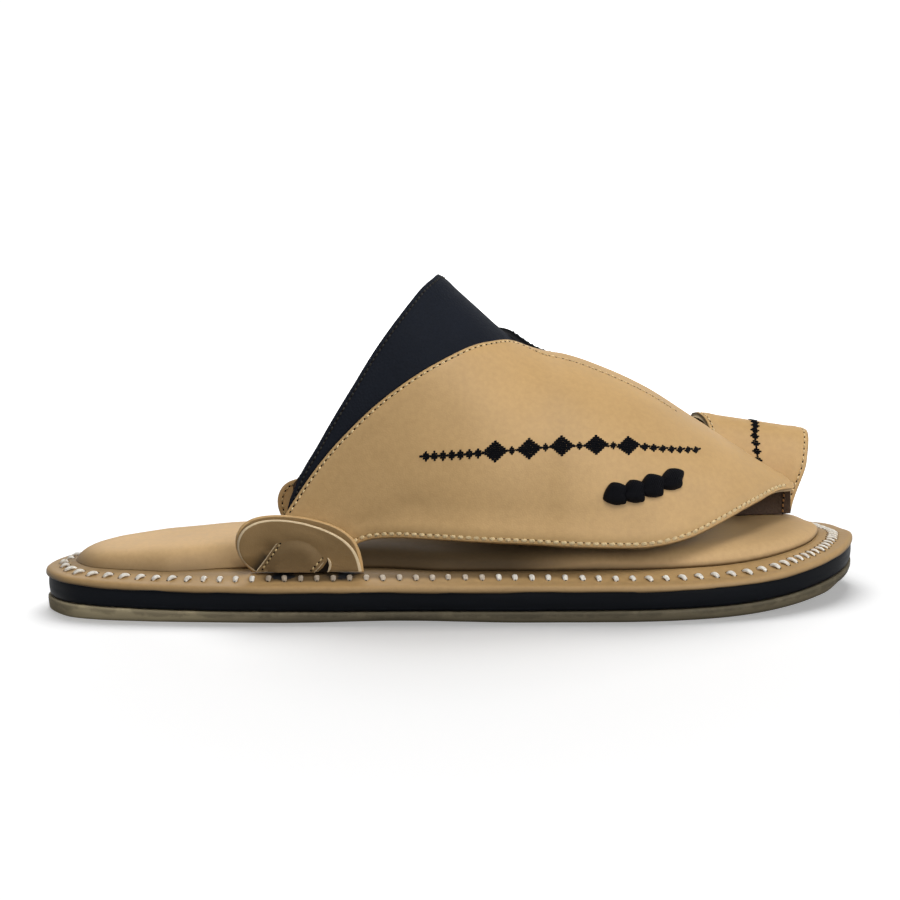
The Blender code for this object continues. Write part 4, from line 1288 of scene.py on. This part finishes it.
def make_ear(side, inner, shift, leathers, sewing):
    """Two-layer ear with the strap end coming through its slit."""
    foot = float(welt_top(EAR_REAR["x"][0])) + FIT_GAP
    rear_x = EAR_REAR["x"].min() + shift
    line_x, line_z = TAIL_FLAP["x"][[8, 11]] + shift, foot + TAIL_FLAP["rise"][[8, 11]]
    run = math.hypot(line_x[1] - line_x[0], line_z[1] - line_z[0])

    def behind(x, z):
        """Distance behind the strap end's rear edge."""
        across = (x - line_x[0]) * (line_z[1] - line_z[0]) - (z - line_z[0]) * (line_x[1] - line_x[0])
        return across / run

    def under_arc(x, z):
        """Distance inside the arc where the strap end leaves the ear."""
        off = (x - ARC_MIDDLE[0] - shift, z - foot - ARC_MIDDLE[1])
        return (1 - np.hypot(off[0] / ARC_HALF[0], off[1] / ARC_HALF[1])) * ARC_MEAN

    def stand(x, z):
        rise = ease((z - foot) / 18.0)
        return EAR_STAND * rise + EAR_CURL * ease((rear_x + 15.0 - x) / 15.0) ** 2 * ease((z - foot) / 7.0)

    def rear_back(x, z):
        return EAR_LIFT + 0.7 * stand(x, z)

    def rear_front(x, z):
        return rear_back(x, z) + EAR_LAYER

    def front_back(x, z):
        return rear_front(x, z) + 0.1 + 0.3 * stand(x, z)

    def front_front(x, z):
        gap = behind(x, z)
        dip = 1.05 * bump_at(np.maximum(gap, 0.0), 3.6) * ease((gap + 3.0) / 2.0)
        dip = dip * ease((foot + 14.0 - z) / 5.0)
        swell = 0.4 * bump_at(under_arc(x, z) + 1.4, 1.5)
        return front_back(x, z) + EAR_LAYER + swell - dip

    def painted_shade(x, z):
        """Painted shade behind the strap end and at the ear's foot."""
        gap = behind(x, z)
        shadow = bump_at(np.maximum(gap - 0.3, 0.0), 2.2) * ease((gap + 0.8) / 0.6)
        shadow = shadow * ease((foot + 12.5 - z) / 7.0)
        return np.maximum(shadow, 0.55 * bump_at(z - foot, 1.3))

    def flap_back(x, z):
        return front_back(x, z) + 0.4

    def flap_front(x, z):
        proud = ease(under_arc(x, z) / 4.2)
        return front_back(x, z) + EAR_LAYER - 0.1 + 1.5 * proud

    def face_normal(x, z):
        degrees = degrees_at(x, z)
        return last_normal(x, 180.0 - degrees if inner else degrees)

    ear = Piece()
    rear_shape = tab_outline(EAR_REAR, shift, foot)
    add_tab(ear, rear_shape, rear_back, rear_front, inner, (0, 2))
    add_tab(ear, tab_outline(EAR_FRONT, shift, foot), front_back, front_front, inner, painted_shade=painted_shade)
    face = inner_ear_tan if inner else ear_tan
    ear.build(f"ear_{side}_leather", [face, cut_edge, tan], "tan_leather", [f"ear_{side}"])
    flap = Piece()
    add_tab(flap, tab_outline(TAIL_FLAP, shift, foot), flap_back, flap_front, inner)
    slot = "black_leather" if inner else "tan_leather"
    flap.build(f"strap_end_{side}", leathers, slot, [f"strap_tail_{side}"])
    slit = Piece()
    for rows, lift, slots in ((SLIT, 0.3, (0, 0)), (LIP, 0.45, (1, 1))):
        shape = tab_outline(rows, shift, foot, base=8)
        add_tab(slit, shape, front_back, lambda x, z: front_front(x, z) + lift, inner, slots)
    slit.build(f"ear_{side}_slit", [hole_shade, cut_edge], "tan_leather")

    seam = Seam()
    for first, last in FLAP_SEAMS:
        x = np.linspace(first[0], last[0], 24) + shift
        z = np.linspace(first[1], last[1], 24) + foot
        seam.sew(flank_point(x, z, flap_front(x, z), inner), face_normal(x, z), **FINE_SEAM)
    seam.build(f"strap_end_{side}", [sewing], slot)
    seam = Seam()
    middle = rear_shape.mean(axis=0)
    x, z = (middle + 0.92 * (rear_shape[4:88] - middle)).T
    seam.sew(flank_point(x, z, rear_back(x, z), inner), -face_normal(x, z), **FLAT_SEAM)
    seam.build(f"ear_{side}", [gold], "tan_leather")


make_outsole()
make_midsole()
make_welt()
make_footbed()
make_whip_stitches()
make_upper()
make_instep_panel()
make_medial_wing()
make_ear("lateral", False, 0.0, [flap_tan, cut_edge], gold)
make_ear("medial", True, MEDIAL_EAR_FORWARD, [black, black_edge], dark_thread)


# Sewing on the straps
def edge_path(edge, sign, x, post=False, inset=STITCH_INSET):
    """Angles of a seam line inside an edge."""
    return edge(x) + sign * inset / edge_scale(x, edge, post)


def sew_straps():
    seam = Seam()
    plan = ((wing_low, 1, -35.0, 119.0, STITCH_INSET, PLUMP_SEAM),
            (wing_high, -1, -55.0, 80.0, UPPER_INSET, FLAT_SEAM))
    for edge, sign, start, end, inset, way in plan:
        x = np.linspace(start, end, 400)
        degrees = edge_path(edge, sign, x, True, inset)
        degrees = -SEAM_BEND * np.logaddexp(-degrees / SEAM_BEND, -RIDGE_SEAM / SEAM_BEND)
        seam.sew(wing_face(x, degrees), last_normal(x, degrees, True), **way)
    around = np.linspace(0.03, 0.97, 300)
    inset = STITCH_INSET / loop_wide(around)
    for share in (inset, 1 - inset):
        seam.sew(loop_face(share, around), loop_normal(share, around), **FLAT_SEAM)
    seam.build("tan_strap", [cream], "tan_leather")
    seam = Seam()
    degrees = np.linspace(92.0, 166.0, 120)
    x = np.full(len(degrees), WING_FRONT_X - 1.2)
    normal = last_normal(x, degrees, True)
    seam.sew(wing_face(x, degrees) - WING_THICK * normal, -normal, **FINE_SEAM)
    seam.build("post_seam", [rust], "tan_leather")
    seam = Seam()
    panel_seam = Seam(seam.pits)
    degrees = np.linspace(5.0, 175.0, 500)
    x = panel_rear(degrees) + STITCH_INSET * panel_step(degrees)
    panel_seam.sew(panel_face(x, degrees), last_normal(x, degrees), **FINE_SEAM)
    panel_seam.threads.build("panel_stitches", [grey_thread], "black_leather")
    for edge, sign, start, end in ((medial_low, 1, -33.0, 82.0), (medial_upper_degrees, -1, -55.0, 82.0)):
        x = np.linspace(start, end, 400)
        degrees = edge_path(edge, sign, x)
        seam.sew(medial_face(x, degrees), last_normal(x, 180.0 - degrees), **FLAT_SEAM)
    seam.build("black_strap", [dark_thread], "black_cord")


# Embroidery
EMBROIDERY = table("x height", (16.4, 57.0), (28.1, 57.0), (39.7, 57.4), (51.0, 57.0), (62.0, 55.9))
LINKS = table("x height", (22.0, 56.9), (34.0, 57.1), (45.4, 57.1), (56.8, 56.4))
REAR_CHAIN = table("x height", (-6.7, 56.2), (10.8, 56.7))
FRONT_CHAIN = table("x height", (67.6, 55.0), (85.4, 51.4))
CHAIN_COUNT = 7
# Widths and heights of a stitch cell in each kind of motif
BIG_CELL = (0.80, 0.69)
REAR_CELL = (0.66, 0.70)
FRONT_CELL = (0.70, 0.66)
LAST_CELL = (0.74, 0.66)
LINK_CELL = (0.54, 0.60)
BAR_CELL = (0.85, 0.72)
LOOP_CELL = (0.66, 0.66)
LOOP_CHAIN = 0.5 - 0.0445 * np.arange(9)


def loop_chain_share(around):
    """Place of the loop's chain between its rear and front edges."""
    return 0.45 + 0.06 * ease((around - 0.3) / 0.2)


def chart(size, cell):
    """Cells of a stepped diamond, as offsets in millimetres."""
    span = range(-size, size + 1)
    return np.array([(i * cell[0], j * cell[1]) for i in span for j in span if abs(i) + abs(j) <= size])


def wing_spot(x, height):
    """Point and face normal of the wing at stations and heights on the last."""
    degrees = degrees_at(x, height)
    return wing_face(x, degrees), last_normal(x, degrees, True)


def loop_spot(share, around):
    return loop_face(share, around), loop_normal(share, around)


def add_motif(piece, spot, u, v, small, size, cell, random):
    """Diamond of upright stitches, two to a cell, round a place on a surface; small is a step on it."""
    point = spot(np.array([u, u + small, u]), np.array([v, v, v + small]))[0]
    rates = [small / np.linalg.norm(point[k] - point[0]) for k in (1, 2)]
    cells = chart(size, cell)
    wide, tall = cell
    for side in (-0.25, 0.25):
        place = cells + (side * wide, 0.0) + random.normal(0.0, 0.035, cells.shape)
        start = place - (0.08 * wide, 0.58 * tall)
        end = place + (0.08 * wide, 0.58 * tall)
        first, normal = spot(u + start[:, 0] * rates[0], v + start[:, 1] * rates[1])
        second = spot(u + end[:, 0] * rates[0], v + end[:, 1] * rates[1])[0]
        add_threads(piece, first, second, normal, 0.7 * wide, 0.34, 0.85, sink=0.0, sections=5, around=6)


def make_embroidery():
    random = np.random.default_rng(SEED)
    piece = Piece()

    def on_wing(x, height, size, cell):
        add_motif(piece, wing_spot, x, height, 0.5, size, cell, random)

    for x, height in zip(*EMBROIDERY.values()):
        on_wing(x, height, 5, BIG_CELL)
    for x, height in zip(*LINKS.values()):
        on_wing(x, height, 2, LINK_CELL)
        for off in (-1.9, 1.9):
            on_wing(x + off, height, 0, BAR_CELL)
    for chain, cell in ((REAR_CHAIN, REAR_CELL), (FRONT_CHAIN, FRONT_CELL)):
        x = np.linspace(*chain["x"], CHAIN_COUNT)
        height = np.linspace(*chain["height"], CHAIN_COUNT)
        for px, ph in zip(x, height):
            on_wing(px, ph, 2, cell)
            on_wing(px + 1.5, ph, 0, BAR_CELL)
    on_wing(REAR_CHAIN["x"][0] - 1.8, REAR_CHAIN["height"][0], 0, BAR_CELL)
    on_wing(FRONT_CHAIN["x"][1], FRONT_CHAIN["height"][1], 2, LAST_CELL)
    on_wing(EMBROIDERY["x"][-1] + 4.2, 55.4, 0, BAR_CELL)
    for around in LOOP_CHAIN:
        add_motif(piece, loop_spot, loop_chain_share(around), around, 0.01, 2, LOOP_CELL, random)
    piece.build("embroidery", [dark_thread], "black_cord")


KNOT_HALF_WIDTH = 4.5
KNOT_FOOT = 0.3  # each knot's lower front corner runs out to a foot
KNOT_FOOT_TURN = math.radians(-66)
KNOT_FOOT_WIDTH = 0.26
KNOT_HEIGHT = 3.2
KNOT_TILT = math.radians(20)
KNOT_POWER = 1.42
KNOT_THREAD = 0.55  # pitch of the satin stitches


def make_knots():
    """Padded diamonds, covered with satin stitches side by side."""
    around = np.linspace(0.0, 2 * np.pi, 72, endpoint=False)
    shares = np.concatenate([[1.04], np.linspace(1.0, 0.0, 22, endpoint=False)])
    share = shares[:, None]
    corner = np.abs(np.cos(around)) ** KNOT_POWER + np.abs(np.sin(around)) ** KNOT_POWER
    turned = (around - KNOT_FOOT_TURN + np.pi) % (2 * np.pi) - np.pi
    corner = corner ** (-1 / KNOT_POWER) * (1 + KNOT_FOOT * bump_at(turned, KNOT_FOOT_WIDTH))
    dome = KNOT_HEIGHT * np.sqrt(np.clip(1 - share ** 2.4, 0.0, 1.0))
    for number, (x, height, tall) in enumerate(zip(*KNOTS.values()), start=1):
        a = share * KNOT_HALF_WIDTH * corner * np.cos(around)
        b = share * tall * corner * np.sin(around)
        at_x = x + (a * math.cos(KNOT_TILT) - b * math.sin(KNOT_TILT))
        dz = a * math.sin(KNOT_TILT) + b * math.cos(KNOT_TILT)
        rise = np.where(share > 1.0, -0.6, dome + 0.07 * np.cos(2 * np.pi * a / KNOT_THREAD))
        degrees = degrees_at(at_x, height + 0.93 * dz)
        points = last_point(at_x, degrees, wing_lift(at_x, degrees) + rise, True)
        piece = Piece()
        piece.add(points, grid_faces(len(shares), len(around), wrap=True))
        piece.add_faces(end_caps(0, len(shares), len(around)))
        piece.build(f"knot_{number}_satin", [dark_thread], "black_cord", [f"knot_{number}"])


sew_straps()
make_embroidery()
make_knots()


# Floor, light and camera
FLOOR_RADIUS = 6.0
FLOOR_EYE = 0.001  # the floor's mesh starts at this radius, under the sole
WALL_TURN = 2.0
FLOOR_GLOW = (0.35, 1.0)  # near the shoe and far from it
FLOOR_GLOW_REACH = (0.12, 0.7)
WALL_HEIGHT = 5.0
TARGET = Vector((1.0, 3.2, 52.0)) * MM
CAMERA_DISTANCE = 0.9
CAMERA_ELEVATION = math.radians(10.5)
CAMERA_ROLL = math.radians(1.5)
CAMERA_LENS = 99.9
CAMERA_SENSOR = 36.0
WORLD_STRENGTH = 0.07


def make_floor():
    """Round pale floor that turns up into a wall far from the shoe; it glows white by emission, painted
    light that is dimmer near the shoe.
    """
    turn = np.linspace(0.0, np.pi / 2, 12)
    far = FLOOR_RADIUS + WALL_TURN
    radius = np.concatenate([[FLOOR_EYE, 0.4, 2.0], FLOOR_RADIUS + WALL_TURN * np.sin(turn), [far]])
    height = np.concatenate([[0.0, 0.0, 0.0], WALL_TURN * (1 - np.cos(turn)), [WALL_HEIGHT]])
    around = np.linspace(0.0, 2 * np.pi, 96, endpoint=False)
    x = radius[:, None] * np.cos(around)
    y = radius[:, None] * np.sin(around)
    points = np.stack([x, y, np.broadcast_to(height[:, None], x.shape)], axis=-1).reshape(-1, 3)
    faces = grid_faces(len(radius), len(around), wrap=True).tolist()
    mesh = bpy.data.meshes.new("floor")
    mesh.from_pydata(points.tolist(), [], faces)
    mesh.shade_smooth()
    floor = bpy.data.objects.new("floor", mesh)
    bpy.context.scene.collection.objects.link(floor)
    look = Look("floor", (0.85, 0.85, 0.85), 0.9, 0.1)
    away = look.node("VectorMath", "Value", {0: look.place}, operation="LENGTH")
    glow = look.spread(away, *FLOOR_GLOW, *FLOOR_GLOW_REACH)
    mesh.materials.append(look.done({"Emission Color": WHITE, "Emission Strength": glow}))
    floor.visible_diffuse = False
    return floor


def make_light(name, place, size, power, lit):
    """Soft area light that faces the shoe; the collection says what it lights."""
    light = bpy.data.lights.new(name, "AREA")
    light.shape = "DISK"
    light.size = size
    light.energy = power
    lamp = bpy.data.objects.new(name, light)
    lamp.location = place
    lamp.rotation_euler = (TARGET - lamp.location).to_track_quat("-Z", "Y").to_euler()
    lamp.light_linking.receiver_collection = lit
    bpy.context.scene.collection.objects.link(lamp)


def floor_link(name, floor, state):
    """Collection for lights that shine on the floor alone, or on all but the floor."""
    lit = bpy.data.collections.new(name)
    lit.objects.link(floor)
    lit.collection_objects[0].light_linking.link_state = state
    return lit


def make_camera():
    camera = bpy.data.cameras.new("camera")
    camera.lens = CAMERA_LENS
    camera.sensor_width = CAMERA_SENSOR
    eye = bpy.data.objects.new("camera", camera)
    back = Vector((0.0, -math.cos(CAMERA_ELEVATION), math.sin(CAMERA_ELEVATION)))
    flat_up = Vector((0.0, math.sin(CAMERA_ELEVATION), math.cos(CAMERA_ELEVATION)))
    flat_right = Vector((1.0, 0.0, 0.0))
    right = flat_right * math.cos(CAMERA_ROLL) - flat_up * math.sin(CAMERA_ROLL)
    up = flat_up * math.cos(CAMERA_ROLL) + flat_right * math.sin(CAMERA_ROLL)
    turn = Matrix((right, up, back)).transposed().to_4x4()
    eye.matrix_world = Matrix.Translation(TARGET + back * CAMERA_DISTANCE) @ turn
    bpy.context.scene.collection.objects.link(eye)
    bpy.context.scene.camera = eye


def make_world():
    world = bpy.data.worlds.new("studio")
    world.use_nodes = True
    world.node_tree.nodes["Background"].inputs["Color"].default_value = (1.0, 1.0, 1.0, 1.0)
    world.node_tree.nodes["Background"].inputs["Strength"].default_value = WORLD_STRENGTH
    bpy.context.scene.world = world
    bpy.context.scene.view_settings.view_transform = "Standard"


floor = make_floor()
on_shoe = floor_link("shoe_light", floor, "EXCLUDE")
on_floor = floor_link("floor_light", floor, "INCLUDE")
make_light("over", (0.12, -0.55, 1.1), 0.6, 7.7, on_shoe)
make_light("front", (0.5, -1.05, 0.45), 0.7, 5.2, on_shoe)
make_light("right", (1.0, -0.3, 0.7), 0.6, 3.8, on_shoe)
make_light("back", (-0.15, 0.8, 0.9), 0.6, 4.5, on_shoe)
make_light("floor_glow", (0.0, 0.5, 0.95), 0.9, 11.0, on_floor)
make_camera()
make_world()
